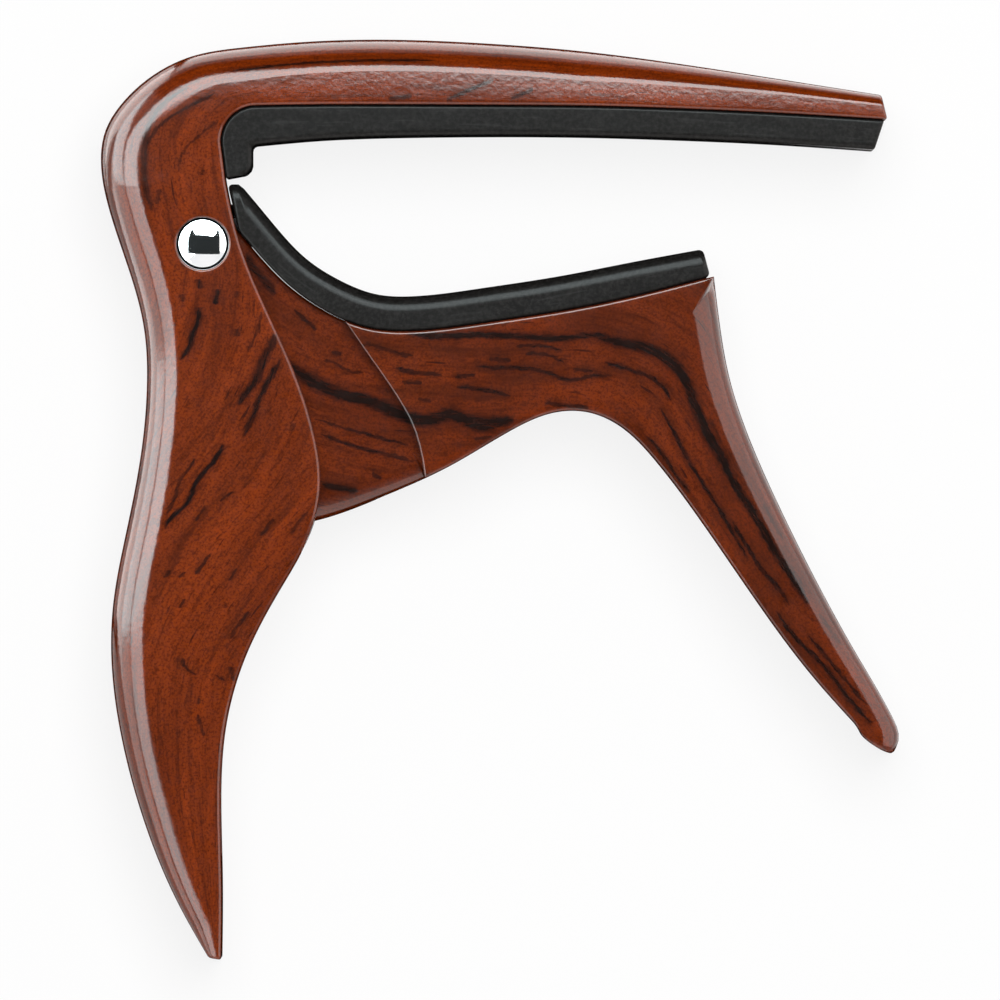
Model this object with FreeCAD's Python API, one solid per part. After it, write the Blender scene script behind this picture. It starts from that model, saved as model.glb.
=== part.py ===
import FreeCAD, Part
import math
import os

from FreeCAD import Vector

# A spring-loaded trigger capo for a guitar, lying on one side.
# X runs along the upper bar towards its free tip, Y runs up from the handles
# to the bar, and Z runs across the width of the capo, which lies on Z = 0.
# The origin is under the middle of the whole object. All sizes are in millimetres.

# Overall
BODY_WIDTH = 16.0          # both castings, across
PIVOT_X = -29.7            # centre of the hinge pin
PIVOT_Y = 25.65

# Arm casting
CHEEK_WALL = 2.1           # side walls that straddle the lever's tongue
BACK_WALL = 2.2            # wall along the outer edge of the arm's channel
CROWN_AT_TIP = 1.1         # radius of the rounded outer edge at the bar's tip
CROWN_AT_SHOULDER = 3.4    # the same radius from the shoulder down the handle
CHANNEL_ROOF_GAP = 0.5     # space above the lever's ears inside the arm
CHANNEL_FLOOR_Y = -36.0    # where the handle's channel ends, above the solid tip

# Lever casting
EAR_RADIUS = 5.3           # round end of the tongue about the pin
EAR_CLEARANCE = 0.3        # between the round of the ears and the arm's back wall
EAR_THICKNESS = 1.4        # each side plate of the tongue
LEVER_WALL = 2.0           # side walls of the jaw and the trigger
LEVER_WEB = 2.2            # wall under the neck pad
TRIGGER_WEB = 2.0          # wall along the trigger's outer edge
BULKHEAD = 3.0             # solid stretch where the tongue meets the jaw
LEVER_CROWN_TOP = 2.7      # radius of the rounded outer edge under the jaw
LEVER_CROWN_TIP = 1.6      # the same radius at the trigger's tip
TRIGGER_END_SETBACK = 2.5  # solid stretch between the channel and the trigger's notch

# Hinge
PIN_RADIUS = 1.75
PIN_HEAD_RADIUS = 2.4
HEAD_RIM = 0.35            # straight edge of each domed head
HEAD_DOME = 0.5            # rise of the dome above the rim
HEAD_RECESS = 1.0          # depth of the pocket that each head sits in
HEAD_GAP = 0.2             # ring of space round each head
RECESS_BEVEL = 0.2         # bevel at the mouth of each head pocket
SPIGOT_RADIUS = 0.9        # stem of the rear head, pressed into the pin
SPIGOT_LENGTH = 2.8
SPIGOT_END_GAP = 0.3
WASHER_RADIUS = 3.2
WASHER_THICKNESS = 0.3
RUNNING_CLEARANCE = 0.05   # radial, between the pin and what turns on it
SIDE_CLEARANCE = 0.1       # between each washer and the tongue
SEATED_CLEARANCE = 0.02    # between pieces that are pressed or seated together

# Return spring
WIRE_RADIUS = 1.0
COIL_TURN_GAP = 0.04       # between one turn of the coil and the next
COIL_CLEARANCE = 0.45      # between the coil and the castings round it
SLEEVE_WALL = 0.8
SLEEVE_GAP = 0.3           # between the sleeve and the coil round it
ARM_LEG_END = (-32.13, 6.41)      # end of the leg that bears on the handle's back wall
LEVER_LEG_END = (-19.44, 16.05)   # end of the leg that bears under the jaw

# Rubber pads
PAD_INSET = 0.5            # each side of a pad, inside the castings' sides
PAD_GAP = 0.05             # between a pad and the casting that carries it
STRING_PAD_THICKNESS = 3.05
STRING_PAD_END_SLANT = 1.0
STRING_PAD_END_INSET = 0.3
BLOCK_GAP = 0.55           # between the string pad's turned-down block and the neck pad
BLOCK_SLANT = 0.3          # rise of the block's underside towards its front
BLOCK_WIDTH = 2.7
BLOCK_ROUND = 1.1
CORNER_ROUND = 0.5         # inner corner between the block and the pad's face
NECK_PAD_THICKNESS = 3.5
NECK_PAD_RISE = 0.65       # upper end of the neck pad, above the round of the ears
NECK_PAD_OVERHANG = 0.1    # past the end of its seat, at the trigger's side
NECK_PAD_ROUND = 0.6       # rounding of the neck pad's two ends
CHEEK_GAP = 0.35           # between the neck pad's end and the cheeks
RIB_WIDTH = 6.0            # rib on the back of each pad, held in a groove
RIB_HEIGHT = 0.9
RIB_CLEARANCE = 0.1
STRING_RIB_X = (-19.0, 33.0)
NECK_RIB_X = (-6.0, 18.0)

# Outlines in X and Y, as stations that smooth curves pass through
BAR_TIP_TOP = (38.2, 40.5)
BAR_TIP_BOTTOM = (38.8, 38.05)
SHOULDER = (-30.9, 44.4)   # where the bar's crown has grown to its full radius
ARM_OUTER = [
    BAR_TIP_TOP, (28.1, 42.1), (18.1, 43.65), (8.1, 44.95), (-1.9, 45.75), (-11.9, 46.1),
    (-19.9, 45.85), (-25.9, 45.3), SHOULDER, (-34.6, 42.6), (-37.7, 39.85), (-39.5, 36.9),
    (-39.9, 33.5), (-39.2, 29.5), (-37.2, 23.3), (-35.6, 17.2), (-35.3, 11.5), (-35.9, 4.6),
    (-37.5, -3.8), (-38.7, -10.6), (-38.8, -17.0), (-37.8, -24.0), (-35.5, -32.4),
    (-32.1, -40.5), (-29.1, -45.8),
]
ARM_INNER = [
    (-27.85, -46.0), (-27.8, -38.0), (-27.95, -30.5), (-27.5, -23.0), (-25.6, -16.0),
    (-22.2, -9.3), (-19.1, -3.6), (-17.95, 1.0), (-18.5, 6.5), (-21.0, 14.0), (-24.2, 21.1),
    (-26.2, 26.5), (-27.4, 31.9),
]
BAR_CORNER = [(-27.9, 35.8), (-27.05, 38.2), (-24.6, 39.45)]
BAR_UNDERSIDE = [
    (-24.6, 39.45), (-18.0, 39.55), (-10.0, 39.55), (0.0, 39.5), (10.0, 39.4), (18.0, 39.15),
    (26.0, 38.8), BAR_TIP_BOTTOM,
]
STRING_PAD_SWELL = [0.9, 0.45, 0.15, 0.0, 0.0, 0.0, 0.0, 0.0]

EAR_SEAT_ANGLE = 89.0      # where the pad's seat leaves the round of the ears
EAR_FOOT_ANGLE = 255.0     # where the tongue's hidden edge leaves it
PAD_SEAT = [
    (-26.6, 27.4), (-24.5, 24.95), (-21.4, 21.7), (-17.6, 19.0), (-13.2, 17.2), (-8.4, 16.9),
    (-1.5, 17.7), (6.6, 18.95), (14.1, 20.5), (21.1, 22.3),
]
NECK_PAD_THINNING = [0.3, 0.35, 0.3, 0.1, 0.0, 0.0, 0.0, 0.0, 0.1, 0.6]
LEVER_OUTER = [
    (21.45, 22.35), (22.0, 17.95), (23.0, 12.3), (24.8, 6.7), (27.7, 0.0), (31.5, -7.7),
    (35.6, -15.2), (39.3, -21.7), (39.95, -23.9), (39.35, -25.4),
]
LEVER_TIP = [(39.35, -25.4), (37.9, -24.85), (36.5, -23.8)]
TRIGGER_NOTCH = [(36.5, -23.8), (36.15, -23.0)]
LEVER_LOWER = [
    (36.15, -23.0), (31.5, -17.8), (25.6, -9.9), (20.1, -1.95), (15.6, 4.0), (12.1, 7.4),
    (8.9, 8.8), (5.4, 8.75), (1.2, 7.0), (-5.0, 3.4), (-11.4, 0.45), (-17.9, -1.95), (-20.8, -2.6),
]
TONGUE_HIDDEN = [(-20.8, -2.6), (-24.0, 3.0), (-27.2, 10.2), (-29.4, 16.6)]
STEP_LINE = [(-18.6, 25.0), (-15.4, 18.1), (-10.9, 11.4), (-7.7, 3.0), (-6.8, -1.5)]

# Room for cutting tools, past the object on every side
FAR = 80.0
# How near two places lie when they count as the same one
TOLERANCE = 1e-3
# Largest share of a face beside an edge that the edge's rounding takes up
ROUND_SHARE = 0.45
# Stations along a curve that keeps its distance from a short or a long outline
SHORT_OFFSET_STATIONS = 48
LONG_OFFSET_STATIONS = 90

PIVOT = Vector(PIVOT_X, PIVOT_Y, 0)
MIDDLE_Z = BODY_WIDTH / 2
SLOT_WIDTH = BODY_WIDTH - 2 * CHEEK_WALL
TONGUE_WIDTH = SLOT_WIDTH - 2 * (WASHER_THICKNESS + SIDE_CLEARANCE)
BAY_WIDTH = TONGUE_WIDTH - 2 * EAR_THICKNESS
SLEEVE_RADIUS = PIN_RADIUS + RUNNING_CLEARANCE + SLEEVE_WALL
COIL_RADIUS = SLEEVE_RADIUS + SLEEVE_GAP + WIRE_RADIUS    # to the middle of the wire
NECK_PAD_TOP_Y = PIVOT_Y + EAR_RADIUS + NECK_PAD_RISE
BLOCK_BOTTOM_Y = NECK_PAD_TOP_Y + BLOCK_GAP
REAR_WASHER_Z = CHEEK_WALL + SEATED_CLEARANCE
FRONT_WASHER_Z = BODY_WIDTH - REAR_WASHER_Z - WASHER_THICKNESS


def vectors(points):
    """Turn pairs of X and Y into vectors on the XY plane."""
    return [point if isinstance(point, Vector) else Vector(point[0], point[1], 0) for point in points]


def smooth(points):
    """Smooth curve through the stations of an outline."""
    curve = Part.BSplineCurve()
    curve.interpolate(vectors(points))
    return curve


def line(start, end):
    """Straight edge between two points."""
    first, last = vectors([start, end])
    return Part.makeLine(first, last)


def arc(start, through, end):
    """Edge along the arc of a circle through three points."""
    return Part.Arc(*vectors([start, through, end])).toShape()


def face(edges):
    """Flat face inside a closed ring of edges."""
    return Part.Face(Part.Wire(edges))


def slab(outline, width):
    """Flat outline given a width that is centred across the capo."""
    moved = outline.copy()
    moved.translate(Vector(0, 0, MIDDLE_Z - width / 2))
    return moved.extrude(Vector(0, 0, width))


def block(low_x, high_x, low_y, high_y, width):
    """Box between two X and two Y values, centred across the capo."""
    corner = Vector(low_x, low_y, MIDDLE_Z - width / 2)
    return Part.makeBox(high_x - low_x, high_y - low_y, width, corner)


def disc(radius, low_z, high_z):
    """Round plate or rod on the axis of the hinge pin."""
    return Part.makeCylinder(radius, high_z - low_z, PIVOT + Vector(0, 0, low_z))


def on_pivot(radius, angle):
    """Point at a radius and an angle in degrees about the hinge pin."""
    turn = math.radians(angle)
    return PIVOT + Vector(radius * math.cos(turn), radius * math.sin(turn), 0)


def beside(curve, distance, count=SHORT_OFFSET_STATIONS):
    """Curve that keeps a distance to the left of another one."""
    first = curve.FirstParameter
    step = (curve.LastParameter - first) / count
    points = []
    for index in range(count + 1):
        parameter = first + index * step
        tangent = curve.tangent(parameter)[0]
        points.append(curve.value(parameter) + Vector(-tangent.y, tangent.x, 0) * distance)
    return smooth(points)


def strip(curve, left, right):
    """Flat band between two distances to the left of a curve."""
    one = beside(curve, left)
    other = beside(curve, right)
    return face([
        one.toShape(),
        line(one.value(one.LastParameter), other.value(other.LastParameter)),
        other.toShape(),
        line(other.value(other.FirstParameter), one.value(one.FirstParameter)),
    ])


def side_of(curve, side):
    """Everything to the left or right of a curve that runs down, or below one that runs right."""
    start = curve.value(curve.FirstParameter)
    end = curve.value(curve.LastParameter)
    corners = {
        "left": [(end.x, -FAR), (-FAR, -FAR), (-FAR, FAR), (start.x, FAR)],
        "right": [(end.x, -FAR), (FAR, -FAR), (FAR, FAR), (start.x, FAR)],
        "below": [(FAR, end.y), (FAR, -FAR), (-FAR, -FAR), (-FAR, start.y)],
    }
    ring = [end] + corners[side] + [start]
    return face([curve.toShape()] + [line(one, other) for one, other in zip(ring, ring[1:])])


def rounded_sides(solid, point, start_radius, end_radius):
    """Round the two side edges of a casting that pass a point of its outline."""
    middle = vectors([point])[0]
    edges = []
    for edge in solid.Edges:
        level = edge.BoundBox.ZMin
        away = edge.distToShape(Part.Vertex(middle.x, middle.y, level))[0]
        if edge.BoundBox.ZLength < TOLERANCE and away < TOLERANCE:
            edges.append(edge)
    return solid.makeFillet(start_radius, end_radius, edges)


# ---------------------------------------------------------------- arm casting

def arm_outline():
    """Side view of the arm: upper bar, shoulder, cheeks and rear handle."""
    outer = smooth(ARM_OUTER)
    shoulder = outer.parameter(vectors([SHOULDER])[0])
    return face([
        outer.toShape(outer.FirstParameter, shoulder),
        outer.toShape(shoulder, outer.LastParameter),
        line(ARM_OUTER[-1], ARM_INNER[0]),
        smooth(ARM_INNER).toShape(),
        line(ARM_INNER[-1], BAR_CORNER[0]),
        arc(*BAR_CORNER),
        smooth(BAR_UNDERSIDE).toShape(),
        line(BAR_TIP_BOTTOM, BAR_TIP_TOP),
    ])


def arm_channel():
    """Hollow between the cheeks and down the handle, open on the inner side."""
    inside = side_of(beside(smooth(ARM_OUTER), BACK_WALL, LONG_OFFSET_STATIONS), "right")
    roof = PIVOT_Y + EAR_RADIUS + CHANNEL_ROOF_GAP
    reach = block(-FAR, 0, CHANNEL_FLOOR_Y, roof, SLOT_WIDTH)
    ears = disc(EAR_RADIUS + EAR_CLEARANCE, MIDDLE_Z - SLOT_WIDTH / 2, MIDDLE_Z + SLOT_WIDTH / 2)
    return slab(inside, SLOT_WIDTH).common(reach).fuse(ears)


def head_pocket(top_z, inward):
    """Round pocket for a pin head, with a bevelled mouth, cut inward from one side."""
    radius = PIN_HEAD_RADIUS + HEAD_GAP
    low, high = sorted([top_z, top_z + inward * HEAD_RECESS])
    mouth = Part.makeCone(radius + RECESS_BEVEL, radius, RECESS_BEVEL, PIVOT + Vector(0, 0, top_z),
                          Vector(0, 0, inward))
    return disc(radius, low, high).fuse(mouth)


def rib_groove(curve, span, side):
    """Groove in a casting for the rib on the back of a pad."""
    band = strip(curve, -side * RIB_HEIGHT, side * (RIB_HEIGHT + RIB_CLEARANCE))
    width = RIB_WIDTH + 2 * RIB_CLEARANCE
    low, high = span
    window = block(low - RIB_CLEARANCE, high + RIB_CLEARANCE, -FAR, FAR, width)
    return slab(band, width).common(window)


def make_main_arm():
    """Casting with the upper bar, the two cheeks and the rear handle."""
    arm = slab(arm_outline(), BODY_WIDTH)
    arm = rounded_sides(arm, ARM_OUTER[1], CROWN_AT_TIP, CROWN_AT_SHOULDER)
    arm = arm.cut(arm_channel())
    arm = arm.cut(disc(PIN_RADIUS + SEATED_CLEARANCE, 0, BODY_WIDTH))
    arm = arm.cut(head_pocket(BODY_WIDTH, -1))
    arm = arm.cut(head_pocket(0, 1))
    return arm.cut(rib_groove(smooth(BAR_UNDERSIDE), STRING_RIB_X, 1))


# -------------------------------------------------------------- lever casting

def seat_curve():
    """Top of the lever, which carries the neck pad."""
    return smooth([on_pivot(EAR_RADIUS, EAR_SEAT_ANGLE)] + PAD_SEAT)


def lever_outline():
    """Side view of the lever: tongue, lower jaw and trigger."""
    seat = seat_curve()
    foot = on_pivot(EAR_RADIUS, EAR_FOOT_ANGLE)
    back = on_pivot(EAR_RADIUS, (EAR_SEAT_ANGLE + EAR_FOOT_ANGLE) / 2)
    return face([
        seat.toShape(),
        line(PAD_SEAT[-1], LEVER_OUTER[0]),
        smooth(LEVER_OUTER).toShape(),
        arc(*LEVER_TIP),
        line(*TRIGGER_NOTCH),
        smooth(LEVER_LOWER).toShape(),
        smooth(TONGUE_HIDDEN + [foot]).toShape(),
        arc(foot, back, on_pivot(EAR_RADIUS, EAR_SEAT_ANGLE)),
    ])


def lever_hollow(width):
    """Space under the pad's wall and behind the trigger's wall, open below."""
    under_seat = slab(side_of(beside(seat_curve(), -LEVER_WEB), "below"), width)
    behind_edge = slab(side_of(beside(smooth(LEVER_OUTER), -TRIGGER_WEB), "left"), width)
    floor = TRIGGER_NOTCH[-1][1] + TRIGGER_END_SETBACK
    return under_seat.common(behind_edge).common(block(-FAR, FAR, floor, FAR, width))


def make_trigger_lever():
    """Casting with the tongue, the lower jaw and the trigger handle."""
    lever = slab(lever_outline(), BODY_WIDTH)
    lever = rounded_sides(lever, LEVER_OUTER[1], LEVER_CROWN_TOP, LEVER_CROWN_TIP)
    step = smooth(STEP_LINE)
    tongue_side = slab(side_of(step, "left"), FAR)
    lever = lever.cut(tongue_side.cut(slab(side_of(step, "left"), TONGUE_WIDTH)))
    lever = lever.cut(lever_hollow(BAY_WIDTH).common(tongue_side))
    jaw_side = slab(side_of(beside(step, BULKHEAD), "right"), FAR)
    lever = lever.cut(lever_hollow(BODY_WIDTH - 2 * LEVER_WALL).common(jaw_side))
    lever = lever.cut(disc(PIN_RADIUS + RUNNING_CLEARANCE, 0, BODY_WIDTH))
    lever = lever.cut(coil_space())
    return lever.cut(rib_groove(smooth(PAD_SEAT), NECK_RIB_X, -1))


def coil_space():
    """Round space that the spring's coil needs between the ears."""
    low = MIDDLE_Z - BAY_WIDTH / 2
    return disc(COIL_RADIUS + WIRE_RADIUS + COIL_CLEARANCE, low, low + BAY_WIDTH)


# ---------------------------------------------------------------------- hinge

def dome(low_z, outward):
    """Domed head on a straight rim, standing outward from a Z value."""
    rim_end = low_z + outward * HEAD_RIM
    low, high = sorted([low_z, rim_end])
    ball_radius = (PIN_HEAD_RADIUS ** 2 + HEAD_DOME ** 2) / (2 * HEAD_DOME)
    ball = Part.makeSphere(ball_radius, PIVOT + Vector(0, 0, rim_end - outward * (ball_radius - HEAD_DOME)))
    cap_low, cap_high = sorted([rim_end, rim_end + outward * 2 * HEAD_DOME])
    return disc(PIN_HEAD_RADIUS, low, high).fuse(ball.common(disc(PIN_HEAD_RADIUS, cap_low, cap_high)))


def make_pivot_pin():
    """Hinge pin with a domed front head and a blind bore at its rear end."""
    front = BODY_WIDTH - HEAD_RECESS
    shaft = disc(PIN_RADIUS, HEAD_RECESS, front + HEAD_RIM)
    bore = disc(SPIGOT_RADIUS + SEATED_CLEARANCE, HEAD_RECESS, HEAD_RECESS + SPIGOT_LENGTH + SPIGOT_END_GAP)
    return shaft.fuse(dome(front + SEATED_CLEARANCE, 1)).cut(bore)


def make_pivot_cap():
    """Domed rear head whose stem is pressed into the pin's bore."""
    seat = HEAD_RECESS - SEATED_CLEARANCE
    return dome(seat, -1).fuse(disc(SPIGOT_RADIUS, seat - HEAD_RIM, seat + SPIGOT_LENGTH))


def make_washer(low_z):
    """Thin washer between a cheek and the tongue."""
    ring = disc(WASHER_RADIUS, low_z, low_z + WASHER_THICKNESS)
    return ring.cut(disc(PIN_RADIUS + RUNNING_CLEARANCE, low_z, low_z + WASHER_THICKNESS))


def make_spring_sleeve():
    """Tube on the pin that keeps the coil centred between the ears."""
    low = MIDDLE_Z - BAY_WIDTH / 2 + SIDE_CLEARANCE
    high = MIDDLE_Z + BAY_WIDTH / 2 - SIDE_CLEARANCE
    return disc(SLEEVE_RADIUS, low, high).cut(disc(PIN_RADIUS + RUNNING_CLEARANCE, low, high))


def leg_start_angle(leg_end, side):
    """Angle about the pin where a leg that ends at a point leaves the coil in a straight line."""
    away = vectors([leg_end])[0] - PIVOT
    return math.degrees(math.atan2(away.y, away.x) + side * math.acos(COIL_RADIUS / away.Length))


def spring_leg(leg_end, angle, level):
    """Straight leg of the spring, from where it leaves the coil to its end, at one level."""
    lift = Vector(0, 0, level)
    start = on_pivot(COIL_RADIUS, angle)
    direction = vectors([leg_end])[0] - start
    return Part.makeCylinder(WIRE_RADIUS, direction.Length, start + lift, direction)


def make_torsion_spring():
    """Coil round the sleeve, with one leg in the handle and one in the tongue.

    It has as many full turns as lie side by side in the bay between the ears.
    """
    start_angle = leg_start_angle(ARM_LEG_END, 1)
    end_angle = leg_start_angle(LEVER_LEG_END, -1) + 360
    part_turn = (end_angle - start_angle) / 360
    pitch = 2 * WIRE_RADIUS + COIL_TURN_GAP
    full_turns = math.floor((BAY_WIDTH - 2 * WIRE_RADIUS) / pitch - part_turn)
    height = (full_turns + part_turn) * pitch
    helix = Part.makeHelix(pitch, height, COIL_RADIUS)
    section = Part.Wire(Part.makeCircle(WIRE_RADIUS, Vector(COIL_RADIUS, 0, 0), Vector(0, 1, 0)))
    coil = Part.Wire(helix.Edges).makePipeShell([section], True, True)
    coil.rotate(Vector(0, 0, 0), Vector(0, 0, 1), start_angle)
    coil.translate(PIVOT + Vector(0, 0, MIDDLE_Z - height / 2))
    arm_leg = spring_leg(ARM_LEG_END, start_angle, MIDDLE_Z - height / 2)
    lever_leg = spring_leg(LEVER_LEG_END, end_angle, MIDDLE_Z + height / 2)
    return coil.fuse([arm_leg, lever_leg])


# ----------------------------------------------------------------------- pads

def rounded_uprights(solid, radius, low_x, high_x, low_y, high_y):
    """Round the edges across a pad's width that lie between two X and two Y values.

    The radius is at most a share of the narrowest face beside those edges.
    """
    edges = []
    for edge in solid.Edges:
        box = edge.BoundBox
        upright = box.XLength < TOLERANCE and box.YLength < TOLERANCE
        inside_x = low_x - TOLERANCE < box.XMin < high_x + TOLERANCE
        inside_y = low_y - TOLERANCE < box.YMin < high_y + TOLERANCE
        if upright and inside_x and inside_y:
            edges.append(edge)
            narrowest = min(side.Area for side in solid.ancestorsOfType(edge, Part.Face)) / edge.Length
            radius = min(radius, ROUND_SHARE * narrowest)
    return solid.makeFillet(radius, edges)


def pad_rib(curve, span, side):
    """Rib on the back of a pad, which its groove in the casting holds."""
    band = strip(curve, -side * PAD_GAP, side * RIB_HEIGHT)
    low, high = span
    return slab(band, RIB_WIDTH).common(block(low, high, -FAR, FAR, RIB_WIDTH))


def make_string_pad():
    """Rubber pad under the upper bar, with its block turned down at the cheeks."""
    face_stations = [
        (x, y - STRING_PAD_THICKNESS - swell) for (x, y), swell in zip(BAR_UNDERSIDE, STRING_PAD_SWELL)
    ]
    cheek_x, cheek_y = ARM_INNER[-1]
    corner_x, corner_y = BAR_CORNER[0]
    back_x = cheek_x + (BLOCK_BOTTOM_Y - cheek_y) * (corner_x - cheek_x) / (corner_y - cheek_y)
    block_front = back_x + BLOCK_WIDTH
    inner_corner = (block_front + CORNER_ROUND, face_stations[0][1])
    tip_x, tip_y = BAR_TIP_BOTTOM
    end_x = tip_x - STRING_PAD_END_INSET
    face_end = (end_x - STRING_PAD_END_SLANT, face_stations[-1][1])
    under = smooth([inner_corner] + face_stations[1:-1] + [face_end])
    bottom_back = (back_x, BLOCK_BOTTOM_Y)
    bottom_front = (block_front, BLOCK_BOTTOM_Y + BLOCK_SLANT)
    outline = face([
        line(bottom_back, BAR_CORNER[0]),
        arc(*BAR_CORNER),
        smooth(BAR_UNDERSIDE[:-1] + [(end_x, tip_y)]).toShape(),
        line((end_x, tip_y), face_end),
        under.toShape(),
        line(inner_corner, bottom_front),
        line(bottom_front, bottom_back),
    ])
    pad = slab(outline, BODY_WIDTH - 2 * PAD_INSET)
    cheeks = slab(arm_outline(), FAR).common(block(-FAR, 0, -FAR, ARM_INNER[-1][1], FAR))
    pad = pad.cut(cheeks)
    pad = rounded_uprights(pad, BLOCK_ROUND, block_front, block_front, BLOCK_BOTTOM_Y, bottom_front[1])
    pad.translate(Vector(PAD_GAP, -PAD_GAP, 0))
    return pad.fuse(pad_rib(smooth(BAR_UNDERSIDE), STRING_RIB_X, 1))


def neck_pad_profile():
    """Side view of the neck pad before its two ends are trimmed."""
    seat = seat_curve()
    run_out = seat.value(seat.LastParameter) + seat.tangent(seat.LastParameter)[0] * NECK_PAD_THICKNESS
    stations = vectors([on_pivot(EAR_RADIUS, EAR_SEAT_ANGLE)] + PAD_SEAT)
    thinning = NECK_PAD_THINNING[:1] + NECK_PAD_THINNING
    top = []
    for station, less in zip(stations, thinning):
        along = seat.tangent(seat.parameter(station))[0]
        top.append(station + Vector(-along.y, along.x, 0) * (NECK_PAD_THICKNESS - less))
    top.append(run_out + (top[-1] - stations[-1]))
    low = beside(smooth(stations + [run_out]), PAD_GAP)
    high = smooth(top)
    return face([
        low.toShape(),
        line(low.value(low.LastParameter), top[-1]),
        high.toShape(),
        line(top[0], low.value(low.FirstParameter)),
    ])


def make_neck_pad():
    """Rubber pad on the lower jaw, curved to the back of a guitar neck."""
    width = BODY_WIDTH - 2 * PAD_INSET
    pad = slab(neck_pad_profile(), width)
    cheeks = slab(arm_outline(), FAR)
    cheeks.translate(Vector(CHEEK_GAP, 0, 0))
    pad = pad.cut(cheeks)
    end_x = PAD_SEAT[-1][0] + NECK_PAD_OVERHANG
    pad = pad.common(block(-FAR, end_x, 0, NECK_PAD_TOP_Y, width))
    pad = rounded_uprights(pad, NECK_PAD_ROUND, -FAR, 0, NECK_PAD_TOP_Y, NECK_PAD_TOP_Y)
    above_seat = PAD_SEAT[-1][1] + NECK_PAD_THICKNESS / 2
    pad = rounded_uprights(pad, NECK_PAD_ROUND, end_x, end_x, above_seat, FAR)
    pad = pad.cut(coil_space())
    return pad.fuse(pad_rib(seat_curve(), NECK_RIB_X, -1))


PARTS = {
    "main_arm": make_main_arm,
    "trigger_lever": make_trigger_lever,
    "string_pad": make_string_pad,
    "neck_pad": make_neck_pad,
    "pivot_pin": make_pivot_pin,
    "pivot_cap": make_pivot_cap,
    "spring_sleeve": make_spring_sleeve,
    "torsion_spring": make_torsion_spring,
    "thrust_washer_rear": lambda: make_washer(REAR_WASHER_Z),
    "thrust_washer_front": lambda: make_washer(FRONT_WASHER_Z),
}


def main():
    """Write every piece of the capo to its own STEP file."""
    os.makedirs("parts", exist_ok=True)
    for name, make in PARTS.items():
        shape = make()
        shape.exportStep(os.path.join("parts", name + ".step"))
        state = "valid" if shape.isValid() else "NOT VALID"
        print(name, state, "solids", len(shape.Solids), "volume %.1f" % shape.Volume)


main()
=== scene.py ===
"""A trigger capo for a guitar, lying on one side on a pale table.

The capo has two castings under a printed rosewood film with a satin lacquer, two black rubber pads, and a
chrome hinge pin with a spring round it. Places and sizes are in the part's own frame. They are written in
millimetres and turned into metres when a mesh is made.
"""

import logging
import math
from dataclasses import dataclass, field, replace
from enum import Enum
from functools import cached_property
from typing import Any, Sequence

import bpy
import numpy as np
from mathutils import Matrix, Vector


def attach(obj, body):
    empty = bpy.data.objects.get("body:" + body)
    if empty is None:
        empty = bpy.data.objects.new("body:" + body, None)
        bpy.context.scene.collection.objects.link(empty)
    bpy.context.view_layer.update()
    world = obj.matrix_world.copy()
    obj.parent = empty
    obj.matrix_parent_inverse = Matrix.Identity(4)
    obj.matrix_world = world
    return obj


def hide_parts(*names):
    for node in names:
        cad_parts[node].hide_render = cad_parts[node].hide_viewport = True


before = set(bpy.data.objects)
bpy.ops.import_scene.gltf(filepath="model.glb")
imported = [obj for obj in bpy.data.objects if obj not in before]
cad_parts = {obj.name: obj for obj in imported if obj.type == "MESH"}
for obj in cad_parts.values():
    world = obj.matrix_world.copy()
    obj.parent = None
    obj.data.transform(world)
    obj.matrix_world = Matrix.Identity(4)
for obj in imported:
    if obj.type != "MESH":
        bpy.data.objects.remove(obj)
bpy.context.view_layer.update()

log = logging.getLogger("capo")

MM = 0.001                      # metres in a millimetre

# Sizes that several pieces share
BODY_WIDTH = 16.0               # both castings, across
PIVOT = (-29.7, 25.65)          # centre of the hinge pin
MIDDLE_Z = BODY_WIDTH / 2
EAR_RADIUS = 5.3
SLOT_WIDTH = 11.8               # between the two cheeks
TONGUE_WIDTH = 11.0
BAY_WIDTH = 8.2                 # between the two ears of the tongue
PIN_RADIUS = 1.75
PAD_INSET = 0.5                 # each side of a pad, inside the castings' sides
PAD_GAP = 0.05                  # between a pad and the casting that carries it
POCKET_RADIUS = 2.6             # round pocket of a pin head, in a casting's side
POCKET_DEPTH = 1.0
POCKET_FLARE = 0.22             # quarter round at the pocket's mouth
BORE_CLEARANCE = 0.02           # between the pin and the arm
LEVER_CLEARANCE = 0.05          # between the pin and the lever
TOOL_OVERRUN = 1.0              # how far a cutting tool stands out of what it cuts

# How finely lines and surfaces are held
POINT_STEP = 0.05               # between the points that hold a path
GUIDE_STRIDE = 4                # one point in so many of a guide is measured from
GUIDE_SPAN = 0.6                # half the chord that gives a guide's direction
MOST_MEASURED = 4000            # points measured from a guide in one go
NET_STATIONS = 1500             # net of places on a loft, in which the points of a vein are looked up
NET_ACROSS = 141
VEIN_STEP = 1.1                 # between the places at which a vein of the wood print is held
SMALL_ROUND_POINTS = 5          # on a quarter round of a lip, an end or an inner edge
SHARP_ANGLE = math.radians(38)

# Layers of numbers that a piece's vertices hold for its pattern
PLACE_LAYER = "place"           # distances along and across a piece, in millimetres
GRAIN_LAYER = "grain"           # the same, bent to run with the grain
GRAIN_ACROSS = 12.0             # grain coordinate from one edge of a casting to the other
GUIDED_GRAIN = 0.85             # grain coordinate for each millimetre from a guide
SIDE_SHIFT = 0.4                # shift of the grain for each millimetre down a rounded edge

Point = tuple[float, float]
Triple = tuple[float, float, float]     # a place, or a colour as linear red, green and blue
ScreenColour = tuple[int, int, int]     # red, green and blue from 0 to 255
WHITE = (1.0, 1.0, 1.0, 1.0)            # linear red, green, blue and alpha

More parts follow.
